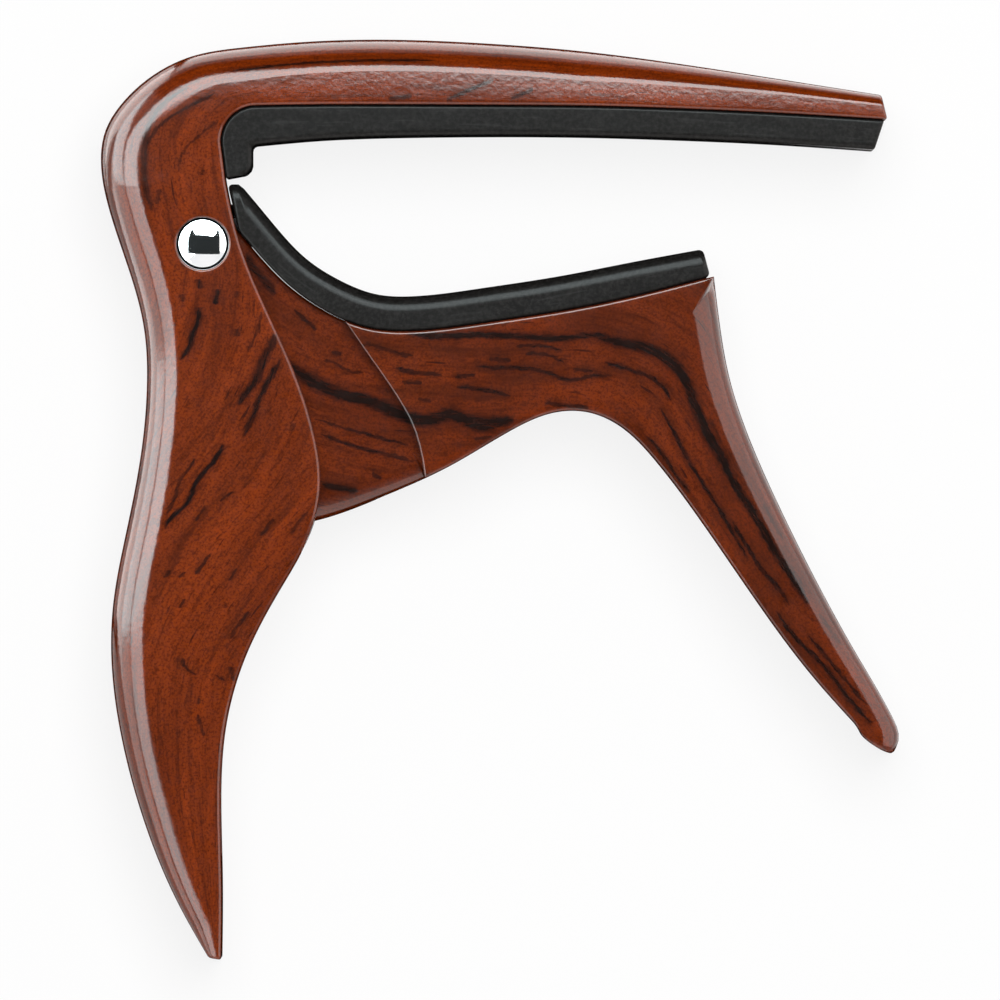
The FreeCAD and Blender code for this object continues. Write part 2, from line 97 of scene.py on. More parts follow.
# Outlines that a casting and its pad share
BAR_TIP_BOTTOM: Point = (38.8, 38.05)
BAR_CORNER: list[Point] = [(-27.9, 35.8), (-27.05, 38.2), (-24.6, 39.45)]
BAR_UNDERSIDE: list[Point] = [
    (-24.6, 39.45), (-18.0, 39.55), (-10.0, 39.55), (0.0, 39.5), (10.0, 39.4), (18.0, 39.15),
    (26.0, 38.8), BAR_TIP_BOTTOM,
]
CHEEK_TOP: Point = (-27.4, 31.9)
PAD_SEAT: list[Point] = [
    (-26.6, 27.4), (-24.5, 24.95), (-21.4, 21.7), (-17.6, 19.0), (-13.2, 17.2), (-8.4, 16.9),
    (-1.5, 17.7), (6.6, 18.95), (14.1, 20.5), (21.1, 22.3),
]


# ------------------------------------------------------------------------------------------------ paths

@dataclass(frozen=True)
class Path:
    """A line in the XY plane, held as closely spaced points in millimetres."""

    points: np.ndarray

    @cached_property
    def reach(self) -> np.ndarray:
        """Distance along the line to each of its points."""
        steps = np.linalg.norm(np.diff(self.points, axis=0), axis=1)
        return np.concatenate([[0.0], np.cumsum(steps)])

    @property
    def length(self) -> float:
        """Length of the whole line."""
        return float(self.reach[-1])

    def at(self, distance: np.ndarray) -> np.ndarray:
        """Points at some distances along the line."""
        return np.stack([np.interp(distance, self.reach, place) for place in self.points.T], axis=-1)

    def tangent(self, distance: np.ndarray, span: float = 0.15) -> np.ndarray:
        """Unit directions of the line: the chord between the points a short span before and after.

        Args:
            distance: distances along the line.
            span: half the length of the chord.

        Returns:
            One unit vector for each distance.
        """
        ahead = self.at(np.clip(distance + span, 0, self.length))
        behind = self.at(np.clip(distance - span, 0, self.length))
        chord = ahead - behind
        return chord / np.linalg.norm(chord, axis=-1, keepdims=True)

    def nearest(self, point: Point) -> float:
        """Distance along the line to the point of it that lies nearest to a place."""
        gaps = np.linalg.norm(self.points - np.asarray(point), axis=1)
        return float(self.reach[int(np.argmin(gaps))])

    def measure(self, points: np.ndarray) -> np.ndarray:
        """Distances along the line to the feet of some points, and their distances to its left.

        The foot is the nearest held point, then a step along the tangent there.

        Args:
            points: rows of places in the plane.

        Returns:
            One row of two distances for each place.
        """
        held, reach = self.points[::GUIDE_STRIDE], self.reach[::GUIDE_STRIDE]
        parts = [
            np.argmin(np.sum((part[:, None] - held[None]) ** 2, axis=-1), axis=1)
            for part in np.array_split(points, len(points) // MOST_MEASURED + 1)
        ]
        foot = np.concatenate(parts)
        along = self.tangent(reach, GUIDE_SPAN)[foot]
        gap = points - held[foot]
        ahead = np.sum(gap * along, axis=-1)
        aside = along[:, 0] * gap[:, 1] - along[:, 1] * gap[:, 0]
        return np.stack([reach[foot] + ahead, aside], axis=-1)

    def beside(self, gap: float) -> "Path":
        """The line moved to its left by a gap: each point moves along the unit normal there."""
        along = self.tangent(self.reach)
        return Path(self.points + gap * np.stack([-along[:, 1], along[:, 0]], axis=-1))

    def between(self, start: float, end: float) -> "Path":
        """The stretch of the line between two distances along it."""
        count = max(2, int((end - start) / POINT_STEP) + 1)
        return Path(self.at(np.linspace(start, end, count)))

    def turned_round(self) -> "Path":
        """The same line, run from its end to its start."""
        return Path(self.points[::-1])

    def __add__(self, other: "Path") -> "Path":
        """This line followed by another one."""
        return Path(np.concatenate([self.points, other.points]))


def straight(start: Point, end: Point) -> Path:
    """Straight line between two points: start plus a share of the way to the end.

    Args:
        start: first point.
        end: last point.

    Returns:
        The line as a path.
    """
    gap = math.dist(start, end)
    share = np.linspace(0, 1, int(gap / POINT_STEP) + 2)[:, None]
    return Path(np.asarray(start) * (1 - share) + np.asarray(end) * share)


def arc(start: Point, through: Point, end: Point) -> Path:
    """Arc of the circle through three points: its centre plus the radius at a turning angle.

    Args:
        start: first point of the arc.
        through: a point on the way.
        end: last point of the arc.

    Returns:
        The arc as a path.
    """
    a, b, c = (complex(*point) for point in (start, through, end))
    ratio = (c - a) / (b - a)
    centre = (a - b) * (ratio - abs(ratio) ** 2) / 2j / ratio.imag - a
    first, middle, last = (np.angle(value + centre) for value in (a, b, c))
    turn = math.tau if last < first else -math.tau
    if not min(first, last) < middle < max(first, last):
        last += turn
    radius = abs(a + centre)
    angles = np.linspace(first, last, int(radius * abs(last - first) / POINT_STEP) + 2)
    around = np.stack([np.cos(angles), np.sin(angles)], axis=-1)
    return Path(radius * around - np.array([centre.real, centre.imag]))


def smooth(stations: Sequence[Point]) -> Path:
    """Natural cubic spline through stations.

    Each coordinate is a cubic in the chord length so far. The second derivatives at the stations solve the
    tridiagonal equations that make the slopes agree, and are zero at both ends.

    Args:
        stations: the points that the line passes through.

    Returns:
        The spline as a path.
    """
    place = np.asarray(stations, float)
    chord = np.linalg.norm(np.diff(place, axis=0), axis=1)
    count = len(place)
    inner = np.arange(1, count - 1)
    left = np.eye(count)
    left[inner, inner - 1] = chord[:-1]
    left[inner, inner] = 2 * (chord[:-1] + chord[1:])
    left[inner, inner + 1] = chord[1:]
    right = np.zeros((count, 2))
    right[1:-1] = 6 * np.diff(np.diff(place, axis=0) / chord[:, None], axis=0)
    bend = np.linalg.solve(left, right)
    knots = np.concatenate([[0.0], np.cumsum(chord)])
    travel = np.linspace(0, knots[-1], int(knots[-1] / POINT_STEP) + 2)
    span = np.clip(np.searchsorted(knots, travel, side="right") - 1, 0, count - 2)
    done = (travel - knots[span])[:, None]
    left_over = (knots[span + 1] - travel)[:, None]
    size = chord[span][:, None]
    cubic = (bend[span] * left_over**3 + bend[span + 1] * done**3) / (6 * size)
    chordal = (place[span] / size - bend[span] * size / 6) * left_over
    chordal += (place[span + 1] / size - bend[span + 1] * size / 6) * done
    return Path(cubic + chordal)


def round_corner(corner: Point, before: Point, after: Point) -> Path:
    """Arc that rounds a square corner: it passes 0.3 of both offsets from the corner.

    Args:
        corner: the corner.
        before: offset from the corner to the arc's start.
        after: offset from the corner to the arc's end.

    Returns:
        The arc as a path.
    """
    start, end = ((corner[0] + offset[0], corner[1] + offset[1]) for offset in (before, after))
    through = (corner[0] + 0.3 * (before[0] + after[0]), corner[1] + 0.3 * (before[1] + after[1]))
    return arc(start, through, end)


def on_pivot(radius: float, angle: float) -> Point:
    """Point at a radius and an angle in degrees about the hinge pin."""
    turn = math.radians(angle)
    return PIVOT[0] + radius * math.cos(turn), PIVOT[1] + radius * math.sin(turn)


def round_pivot(radius: float, start: float, end: float) -> Path:
    """Arc about the hinge pin between two angles in degrees."""
    return arc(on_pivot(radius, start), on_pivot(radius, (start + end) / 2), on_pivot(radius, end))


EAR_SEAT_ANGLE = 89.0           # where the ears of the tongue run into the seat of the neck pad
EAR_SEAT = on_pivot(EAR_RADIUS, EAR_SEAT_ANGLE)


# ----------------------------------------------------------------------------------------------- meshes

def add_object(name: str, data: bpy.types.ID) -> bpy.types.Object:
    """Put a mesh, a lamp or a camera into the scene.

    Args:
        name: name of the object.
        data: the mesh, the lamp or the camera.

    Returns:
        The new object, at the origin.
    """
    item = bpy.data.objects.new(name, data)
    bpy.context.scene.collection.objects.link(item)
    return item


@dataclass
class Surface:
    """Vertices in millimetres, faces, and four numbers at each vertex for the material's patterns.

    The first two are the distances along and across a piece, and the last two its grain's coordinates.
    """

    vertices: np.ndarray
    faces: list[tuple[int, ...]]
    marks: np.ndarray

    def volume(self) -> float:
        """Signed volume inside the faces: a sixth of the triple products of their fans' triangles.

        Returns:
            The volume in cubic millimetres, above zero where the faces point outwards.
        """
        total = 0.0
        for size in (3, 4):
            same = np.array([face for face in self.faces if len(face) == size], int)
            for last in range(2, size) if len(same) else ():
                a, b, c = (self.vertices[same[:, corner]] for corner in (0, last - 1, last))
                total += float(np.einsum("ij,ij->", a, np.cross(b, c))) / 6
        return total

    def make(self, name: str) -> bpy.types.Object:
        """Put the surface into a mesh object with its faces turned outwards.

        Args:
            name: name of the piece.

        Returns:
            The new object, at the origin, with smooth shading between its sharp edges.
        """
        faces = self.faces if self.volume() > 0 else [face[::-1] for face in self.faces]
        mesh = bpy.data.meshes.new(name)
        mesh.from_pydata((self.vertices * MM).tolist(), [], faces)
        corners = np.zeros(len(mesh.loops), np.int32)
        mesh.loops.foreach_get("vertex_index", corners)
        for first, title in ((0, PLACE_LAYER), (2, GRAIN_LAYER)):
            layer = mesh.uv_layers.new(name=title)
            layer.data.foreach_set("uv", self.marks[corners, first:first + 2].astype(np.float32).ravel())
        mesh.update()
        mesh.validate()
        piece = add_object(name, mesh)
        shade(piece)
        return piece


def shade(piece: bpy.types.Object) -> None:
    """Shade a piece smoothly, except over edges that turn by more than the sharp angle.

    Args:
        piece: the piece.
    """
    mesh = piece.data
    mesh.polygons.foreach_set("use_smooth", np.ones(len(mesh.polygons), bool))
    mesh.set_sharp_from_angle(angle=SHARP_ANGLE)
    mesh.update()


def tube_faces(rows: int, loop: int) -> list[tuple[int, ...]]:
    """Quads between the neighbouring closed loops of a grid of points.

    Args:
        rows: number of loops.
        loop: number of points in each.

    Returns:
        The quads, as indices of vertices that are numbered loop by loop.
    """
    row = np.arange(rows - 1)[:, None] * loop
    here = np.arange(loop)[None, :]
    after = (here + 1) % loop
    quads = np.stack([row + here, row + after, row + loop + after, row + loop + here], axis=-1)
    return [tuple(quad) for quad in quads.reshape(-1, 4).tolist()]


def folded_cap(first: int, loop: int, turned: bool) -> list[tuple[int, ...]]:
    """Close a loop that is symmetric about its first and its middle point, by joining each pair of twins.

    Args:
        first: index of the loop's first vertex.
        loop: number of points in the loop.
        turned: True to turn the faces round.

    Returns:
        Quads across the loop, and a triangle at either end.
    """
    half = loop // 2
    faces = []
    for step in range(half):
        ring = [first + step, first + step + 1, first + loop - step - 1, first + (loop - step) % loop]
        kept = tuple(dict.fromkeys(ring))
        faces.append(kept[::-1] if turned else kept)
    return faces


# ------------------------------------------------------------------------------------------------ lofts

@dataclass
class Section:
    """Section of a piece at each of its rungs, all in millimetres across the edges that they round."""

    half_width: np.ndarray
    outer_round: np.ndarray
    inner_round: np.ndarray
    floor: np.ndarray | None = None          # wall between the outer edge and the channel, NaN for none
    channel: np.ndarray | None = None        # half the width of the channel
    ridge_tilt: np.ndarray | float = 0.0     # slope in degrees at which the outer round meets the side
    side_tilt: np.ndarray | float = 0.0      # slope in degrees of the side just below that ridge
    side_power: np.ndarray | float = 1.25    # the side's drop goes with this power of the distance to its end


# Limits that hold for every loft
NEAR_CLOSE = (-0.3, -0.1, -0.02, 0.02, 0.06, 0.12, 0.2, 0.3)    # extra stations about a sudden change
FREE_OF_CLOSE = 0.4             # distance that the even stations keep from such a change
LEAST_SINE = 0.35               # of the angle between a rung and an edge
CROWN_SHARE = 1.35              # widest outer round, as a share of half the rung
HEM_SHARE = 0.6                 # widest inner round, as the same share
LEAST_ROUND = 0.05
PLAIN_OPENING = 0.4             # where the lip's points lie without a channel, as a share of the half width
EDGE_SHARES = (0.0, 0.3, 0.7)   # points of the outer edge before its round starts


@dataclass
class Loft:
    """A flat-sided piece between an outer and an inner rail, joined by rungs.

    A point of the surface is the outer rail's point plus a share of the rung to the inner rail, raised by the
    section's height there. Roundings are laid out across the edge that they round, not along the rung.
    """

    outer: Path
    inner: Path
    rungs: Sequence[tuple[Point, Point]]
    step: float = 0.5
    end_round: float = 0.3
    side_points: int = 13
    crown_points: int = 13
    close_stations: Sequence[float] = ()
    lip_round: float = 0.3          # of the channel's lips and its inner corners
    draft: float = 0.12             # how much nearer to the middle the foot of the channel's wall is
    bends: Sequence[tuple[float, float, Sequence[Point]]] = ()
    guide: Path | None = None       # line that the wood print follows, in place of the rungs

    def __post_init__(self) -> None:
        """Find where each rung stands on both rails, and the stations of the loft between them."""
        self.on_outer = np.array([self.outer.nearest(rung[0]) for rung in self.rungs])
        self.on_inner = np.array([self.inner.nearest(rung[1]) for rung in self.rungs])
        self.travel = (self.on_outer + self.on_inner) / 2
        start, end = self.travel[0], self.travel[-1]
        even = np.linspace(start, end, int((end - start) / self.step))
        turn = np.linspace(0, math.pi / 2, SMALL_ROUND_POINTS)
        ends = self.end_round * (1 - np.sin(turn))
        close = [spot + np.array(NEAR_CLOSE) for spot in self.close_stations]
        apart = even[(even > start + self.end_round) & (even < end - self.end_round)]
        for spot in self.close_stations:
            apart = apart[np.abs(apart - spot) > FREE_OF_CLOSE]
        self.stations = np.sort(np.concatenate([apart, start + ends, end - ends, *close]))

    def station_at(self, rung: int) -> float:
        """Station of one of the given rungs."""
        return float(self.travel[rung])

    def spread(self, values: Sequence[float]) -> np.ndarray:
        """A size given at each rung, at all the stations: it changes evenly between rungs."""
        return np.interp(self.stations, self.travel, np.asarray(values, float))

    def frame_at(self, stations: np.ndarray) -> tuple[np.ndarray, ...]:
        """Rung at each station.

        Args:
            stations: distances along the loft.

        Returns:
            Start of the rung, its direction, its length, and the stretch of distances at its two ends.
        """
        outer_at = np.interp(stations, self.travel, self.on_outer)
        inner_at = np.interp(stations, self.travel, self.on_inner)
        start, end = self.outer.at(outer_at), self.inner.at(inner_at)
        reach = np.linalg.norm(end - start, axis=1)
        along = (end - start) / reach[:, None]
        outer_slant = self._slant(self.outer.tangent(outer_at), along)
        inner_slant = self._slant(self.inner.tangent(inner_at), along)
        return start, along, reach, outer_slant, inner_slant

    def places(self, stations: np.ndarray, across: np.ndarray) -> np.ndarray:
        """Points in the plane: the rung's start, plus the distance along it, plus the bend to its side.

        Args:
            stations: distances along the loft.
            across: distances along the rungs, one row for each station.

        Returns:
            The points, in a grid like that of the distances.
        """
        start, along, reach = self.frame_at(stations)[:3]
        sideways = np.stack([along[:, 1], -along[:, 0]], axis=-1)
        bend = self._bend(stations, across / reach[:, None])
        straight_on = start[:, None, :] + along[:, None, :] * across[..., None]
        return straight_on + sideways[:, None, :] * bend[..., None]

    def locate(self, points: np.ndarray) -> np.ndarray:
        """Where points in the plane lie on the print: by the guide, or by the nearest of a net of places.

        Args:
            points: rows of places in the plane.

        Returns:
            One row of the distances along and across for each place.
        """
        if self.guide is not None:
            return self.guide.measure(np.asarray(points))
        stations = np.linspace(self.stations[0], self.stations[-1], NET_STATIONS)
        share = np.linspace(0, 1, NET_ACROSS)
        across = self.frame_at(stations)[2][:, None] * share
        net = self.places(stations, across).reshape(-1, 2)
        gaps = [int(np.argmin(np.sum((net - np.asarray(point)) ** 2, axis=1))) for point in points]
        row, column = np.divmod(np.array(gaps), NET_ACROSS)
        return np.stack([stations[row], across[row, column]], axis=-1)

    def surface(self, section: Section, drift: Sequence[float] | None = None) -> Surface:
        """Lay the section over the rungs and close both ends.

        Args:
            section: the sizes of the section at each station.
            drift: sideways shift of the grain at each rung, or None where it follows the piece.

        Returns:
            The closed surface.
        """
        reach, outer_slant, inner_slant = self.frame_at(self.stations)[2:]
        from_end = np.minimum(self.stations - self.stations[0], self.stations[-1] - self.stations)
        inside = np.clip(1 - from_end / max(self.end_round, 1e-6), 0, 1)
        inset = self.end_round * (1 - np.sqrt(1 - inside**2))
        across, height = self._half_loop(section, reach, inset, outer_slant, inner_slant)
        across = np.concatenate([across, across[:, -2:0:-1]], axis=1)
        height = np.concatenate([height, -height[:, -2:0:-1]], axis=1)
        flat = self.places(self.stations, across)
        vertices = np.concatenate([flat, MIDDLE_Z + height[..., None]], axis=-1)
        rows, loop = across.shape
        faces = tube_faces(rows, loop)
        faces += folded_cap(0, loop, True) + folded_cap((rows - 1) * loop, loop, False)
        below = section.half_width[:, None] - np.abs(height)
        place = across + np.where(across < reach[:, None] / 2, -below, below)
        stations = np.repeat(self.stations[:, None], loop, axis=1)
        if self.guide is not None:
            on_guide = self.guide.measure(flat.reshape(-1, 2))
            out = np.where(across < reach[:, None] / 2, below, -below).reshape(-1)
            side = (SIDE_SHIFT * np.sign(height) * below).reshape(-1)
            grain = GUIDED_GRAIN * (on_guide[:, 1] + out) + side
            marks = np.stack([on_guide[:, 0], on_guide[:, 1] + out, on_guide[:, 0], grain], axis=-1)
            return Surface(vertices.reshape(-1, 3), faces, marks)
        shift = self.spread(drift)[:, None] if drift is not None else 0.0
        grain = GRAIN_ACROSS * place / reach[:, None] + shift + SIDE_SHIFT * np.sign(height) * below
        marks = np.stack([stations, place, stations, grain], axis=-1)
        return Surface(vertices.reshape(-1, 3), faces, marks.reshape(-1, 4))

    @staticmethod
    def _slant(tangent: np.ndarray, along: np.ndarray) -> np.ndarray:
        """How much longer a distance is along the rung than across the edge.

        That is one over the sine of the angle between rung and edge.

        Args:
            tangent: directions of the edge.
            along: directions of the rungs.

        Returns:
            One factor for each rung.
        """
        sine = np.abs(tangent[:, 0] * along[:, 1] - tangent[:, 1] * along[:, 0])
        return 1 / np.maximum(sine, LEAST_SINE)

    def _bend(self, stations: np.ndarray, share: np.ndarray) -> np.ndarray:
        """Sideways shift of the rungs' points.

        Each bend is a station, a reach and a shape over the share of the rung. It fades with the squared
        cosine of the distance from its station.

        Args:
            stations: distances along the loft.
            share: share of the rung at each point.

        Returns:
            The shift of each point, in millimetres.
        """
        shift = np.zeros_like(share)
        for station, reach, shape in self.bends:
            away = np.clip(np.abs(stations - station) / reach, 0, 1)
            at, side = np.array(shape).T
            shift += (np.cos(away * math.pi / 2) ** 2)[:, None] * np.interp(share, at, side)
        return shift

    def _half_loop(
        self, section: Section, reach: np.ndarray, inset: np.ndarray, outer_slant: np.ndarray,
        inner_slant: np.ndarray,
    ) -> tuple[np.ndarray, np.ndarray]:
        """Half of each section, from the middle of the outer edge to the middle of the channel's floor.

        The parts follow each other: the outer edge, its quarter round, the flat side, the inner quarter
        round, the lip, and the channel's rounded lip, drafted wall, rounded corner and floor. Where there is
        no channel its wall has no depth and lies in the inner edge.

        Args:
            section: the sizes of the section at each station.
            reach: length of each rung.
            inset: how far the section is drawn in near the ends.
            outer_slant: stretch of distances along the rung at the outer edge.
            inner_slant: the same at the inner edge.

        Returns:
            Distance along the rung and height above the middle, one row for each station.
        """
        def column(values: Any) -> np.ndarray:
            """A size for each station, as a column that goes with rows of points."""
            return np.broadcast_to(np.asarray(values, float), reach.shape)[:, None]

        quarter = np.linspace(0, math.pi / 2, self.crown_points)[None, :]
        small = np.linspace(0, math.pi / 2, SMALL_ROUND_POINTS)[None, :]
        rise_small, run_small = np.sin(small), 1 - np.cos(small)
        squeezed = reach / (outer_slant + inner_slant)
        crown, hem = (
            column(np.maximum(np.minimum(rounding, share * squeezed) - inset, LEAST_ROUND))
            for rounding, share in ((section.outer_round, CROWN_SHARE), (section.inner_round, HEM_SHARE))
        )
        width = column(section.half_width - inset)
        top, bottom = column(outer_slant), column(inner_slant)
        low, high = column(inset * outer_slant), column(reach - inset * inner_slant)
        ridge, side = np.radians(column(section.ridge_tilt)), np.radians(column(section.side_tilt))
        side_start, side_end = low + top * crown, high - bottom * hem
        power = column(section.side_power)
        drop = np.tan(side) / power * (side_end - side_start)
        swing = quarter * (1 - ridge / (math.pi / 2))
        run = (1 - np.cos(swing)) / (1 - np.sin(ridge))
        rise = (np.sin(swing) - np.cos(ridge)) / (1 - np.sin(ridge)) + 1
        if section.channel is None:
            opening = PLAIN_OPENING * width
            depth = np.zeros_like(width)
        else:
            opening = column(section.channel)
            wanted = reach - section.floor * outer_slant
            depth = column(np.where(np.isnan(wanted), 0.0, np.maximum(wanted, 0.0)))
        lip = np.full_like(width, self.lip_round)
        lip_depth = np.minimum(lip * bottom, depth / 2)
        wall_top, wall_foot = high - lip_depth, high - depth + lip_depth
        foot = opening - self.draft
        even = np.linspace(0, 1, self.side_points)[None, 1:-1]
        few = np.linspace(0, 1, SMALL_ROUND_POINTS)[None, 1:-1]
        parts = [
            (low + 0 * few, (width - drop + crown * (rise[:, :1] - 1)) * np.array([EDGE_SHARES])),
            (low + top * crown * run, width - drop + crown * (rise - 1)),
            (side_start + (side_end - side_start) * even, width - drop * (1 - even) ** power),
            (high - bottom * hem * (1 - rise_small), width - hem * run_small),
            (high + 0 * few, width - hem + (opening + lip - width + hem) * few),
            (high - lip_depth * run_small, opening + lip * (1 - rise_small)),
            (wall_top + (wall_foot - wall_top) * few, opening - self.draft * few),
            (wall_foot - lip_depth * rise_small, foot - lip * run_small),
            (high - depth + 0 * few, (foot - lip) * (1 - np.concatenate([few[:, 1:], [[1.0]]], axis=1))),
        ]
        across = np.concatenate([np.broadcast_to(distance, lift.shape) for distance, lift in parts], axis=1)
        height = np.concatenate([lift for _, lift in parts], axis=1)
        return across, height


def turned(profile: np.ndarray, count: int = 96) -> Surface:
    """Surface of revolution about the hinge pin.

    A point is the pivot plus the profile's radius at a turning angle, at the profile's height. The profile's
    two ends lie on the axis, and a single point closes each.

    Args:
        profile: rows of radius and height, from one end on the axis to the other.
        count: points round the axis.

    Returns:
        The closed surface.
    """
    angles = np.arange(count) * math.tau / count
    radius, height = profile[1:-1, 0][:, None], profile[1:-1, 1][:, None]
    rings = np.stack([
        PIVOT[0] + radius * np.cos(angles), PIVOT[1] + radius * np.sin(angles), height + 0 * angles,
    ], axis=-1).reshape(-1, 3)
    poles = np.array([[*PIVOT, profile[0, 1]], [*PIVOT, profile[-1, 1]]])
    vertices = np.concatenate([rings, poles])
    rows = len(profile) - 2
    faces = tube_faces(rows, count)
    last = (rows - 1) * count
    faces += [((step + 1) % count, step, len(rings)) for step in range(count)]
    faces += [(last + step, last + (step + 1) % count, len(rings) + 1) for step in range(count)]
    reach = np.linalg.norm(vertices[:, :2] - np.asarray(PIVOT), axis=1)
    turn = np.arctan2(vertices[:, 1] - PIVOT[1], vertices[:, 0] - PIVOT[0])
    return Surface(vertices, faces, np.stack([reach, vertices[:, 2], reach, turn], axis=-1))


def carve(piece: bpy.types.Object, tools: Sequence[Surface]) -> bpy.types.Object:
    """Cut closed surfaces out of a piece and keep the result as its mesh.

    Args:
        piece: the piece that is cut.
        tools: surfaces whose insides are taken away.

    Returns:
        The same piece.
    """
    for tool in tools:
        cutter = tool.make("cutter")
        cut = piece.modifiers.new("cut", "BOOLEAN")
        cut.operation = "DIFFERENCE"
        cut.solver = "EXACT"
        cut.object = cutter
        bpy.context.view_layer.update()
        evaluated = piece.evaluated_get(bpy.context.evaluated_depsgraph_get())
        mesh = bpy.data.meshes.new_from_object(evaluated)
        piece.modifiers.clear()
        old = piece.data
        piece.data = mesh
        mesh.name = piece.name
        bpy.data.meshes.remove(old)
        bpy.data.meshes.remove(cutter.data)
    shade(piece)
    return piece


def head_pocket(mouth_z: float, inward: int) -> Surface:
    """Tool that cuts the round pocket of a pin head, with a rounded mouth.

    Args:
        mouth_z: height of the casting's side.
        inward: 1 when the pocket goes up into the casting, -1 when it goes down.

    Returns:
        The tool's surface: a disc that flares by a quarter round at its mouth.
    """
    turn = np.linspace(0, math.pi / 2, 6)
    flared = POCKET_FLARE * np.stack([1 - np.cos(turn), 1 - np.sin(turn)], axis=-1)[::-1]
    mouth = [[0.0, -TOOL_OVERRUN], [POCKET_RADIUS + POCKET_FLARE, -TOOL_OVERRUN]]
    bottom = [[POCKET_RADIUS, POCKET_DEPTH], [0.0, POCKET_DEPTH]]
    outline = np.concatenate([mouth, flared + [POCKET_RADIUS, 0.0], bottom])
    return turned(np.stack([outline[:, 0], mouth_z + inward * outline[:, 1]], axis=-1))


def rod(radius: float, low: float, high: float) -> Surface:
    """Plain rod on the hinge's axis, used as a cutting tool."""
    return turned(np.array([[0.0, low], [radius, low], [radius, high], [0.0, high]]))


def through_rod(radius: float) -> Surface:
    """Rod that runs through the whole width of the capo and out of both its sides."""
    return rod(radius, -TOOL_OVERRUN, BODY_WIDTH + TOOL_OVERRUN)


# ------------------------------------------------------------------------------------------ node graphs

@dataclass(frozen=True)
class Graph:
    """Node tree of a material or a world."""

    tree: bpy.types.NodeTree

    def add(self, kind: str, settings: dict[str, Any], inputs: dict[Any, Any]) -> bpy.types.Node:
        """Add a node.

        Args:
            kind: type of the node, without its ShaderNode prefix.
            settings: attributes of the node, set first.
            inputs: values or sockets for its inputs, by name or index.

        Returns:
            The new node.
        """
        node = self.tree.nodes.new("ShaderNode" + kind)
        for name, value in settings.items():
            setattr(node, name, value)
        for name, value in inputs.items():
            if isinstance(value, Signal):
                self.tree.links.new(value.socket, node.inputs[name])
            else:
                node.inputs[name].default_value = value
        return node

    def signal(
        self, kind: str, settings: dict[str, Any], inputs: dict[Any, Any], output: Any = 0,
    ) -> "Signal":
        """Add a node and take one of its outputs."""
        return Signal(self, self.add(kind, settings, inputs).outputs[output])

    def mix(self, share: Any, first: Any, second: Any) -> "Signal":
        """Blend two colours."""
        return self.signal("Mix", {"data_type": "RGBA"}, {0: share, 6: first, 7: second}, 2)

    def vector(self, operation: str, first: Any, second: Any) -> "Signal":
        """Combine two vectors."""
        return self.signal("VectorMath", {"operation": operation}, {0: first, 1: second})

    def layer(self, name: str) -> tuple["Signal", "Signal"]:
        """Two numbers of one of the piece's own layers.

        Args:
            name: name of the layer.

        Returns:
            The first and the second number.
        """
        both = self.signal("UVMap", {"uv_map": name}, {})
        split = self.add("SeparateXYZ", {}, {0: both})
        return Signal(self, split.outputs[0]), Signal(self, split.outputs[1])

    def object_place(self) -> "Signal":
        """Place on the object, in metres."""
        return self.signal("TexCoord", {}, {}, "Object")

    def seen(self) -> "Signal":
        """Tell the rays that end in the picture.

        Returns:
            1 for rays from the camera, off a mirror or through glass, and 0 for all others.
        """
        rays = self.add("LightPath", {}, {})
        camera, glossy, clear = (
            Signal(self, rays.outputs[f"Is {kind} Ray"]) for kind in ("Camera", "Glossy", "Transmission")
        )
        return camera.math("MAXIMUM", glossy).math("MAXIMUM", clear)

    def noise(self, place: Any, scale: float, detail: float = 2.0, rough: float = 0.5) -> "Signal":
        """Fractal noise between 0 and 1, centred on a half."""
        inputs = {"Vector": place, "Scale": scale, "Detail": detail, "Roughness": rough}
        return self.signal("TexNoise", {}, inputs)

    def joined(self, x: Any, y: Any, z: Any = 0.0) -> "Signal":
        """Vector of three numbers."""
        return self.signal("CombineXYZ", {}, {0: x, 1: y, 2: z})

    def curve(self, share: "Signal", points: np.ndarray) -> "Signal":
        """Smooth curve through points whose two numbers lie between 0 and 1.

        Args:
            share: where the curve is read.
            points: rows of a share and the curve's height there.

        Returns:
            The height at the share.
        """
        node = self.add("FloatCurve", {}, {1: share})
        line = node.mapping.curves[0]
        line.points[0].location, line.points[1].location = points[0], points[-1]
        for point in points[1:-1]:
            line.points.new(*point)
        node.mapping.update()
        return Signal(self, node.outputs[0])


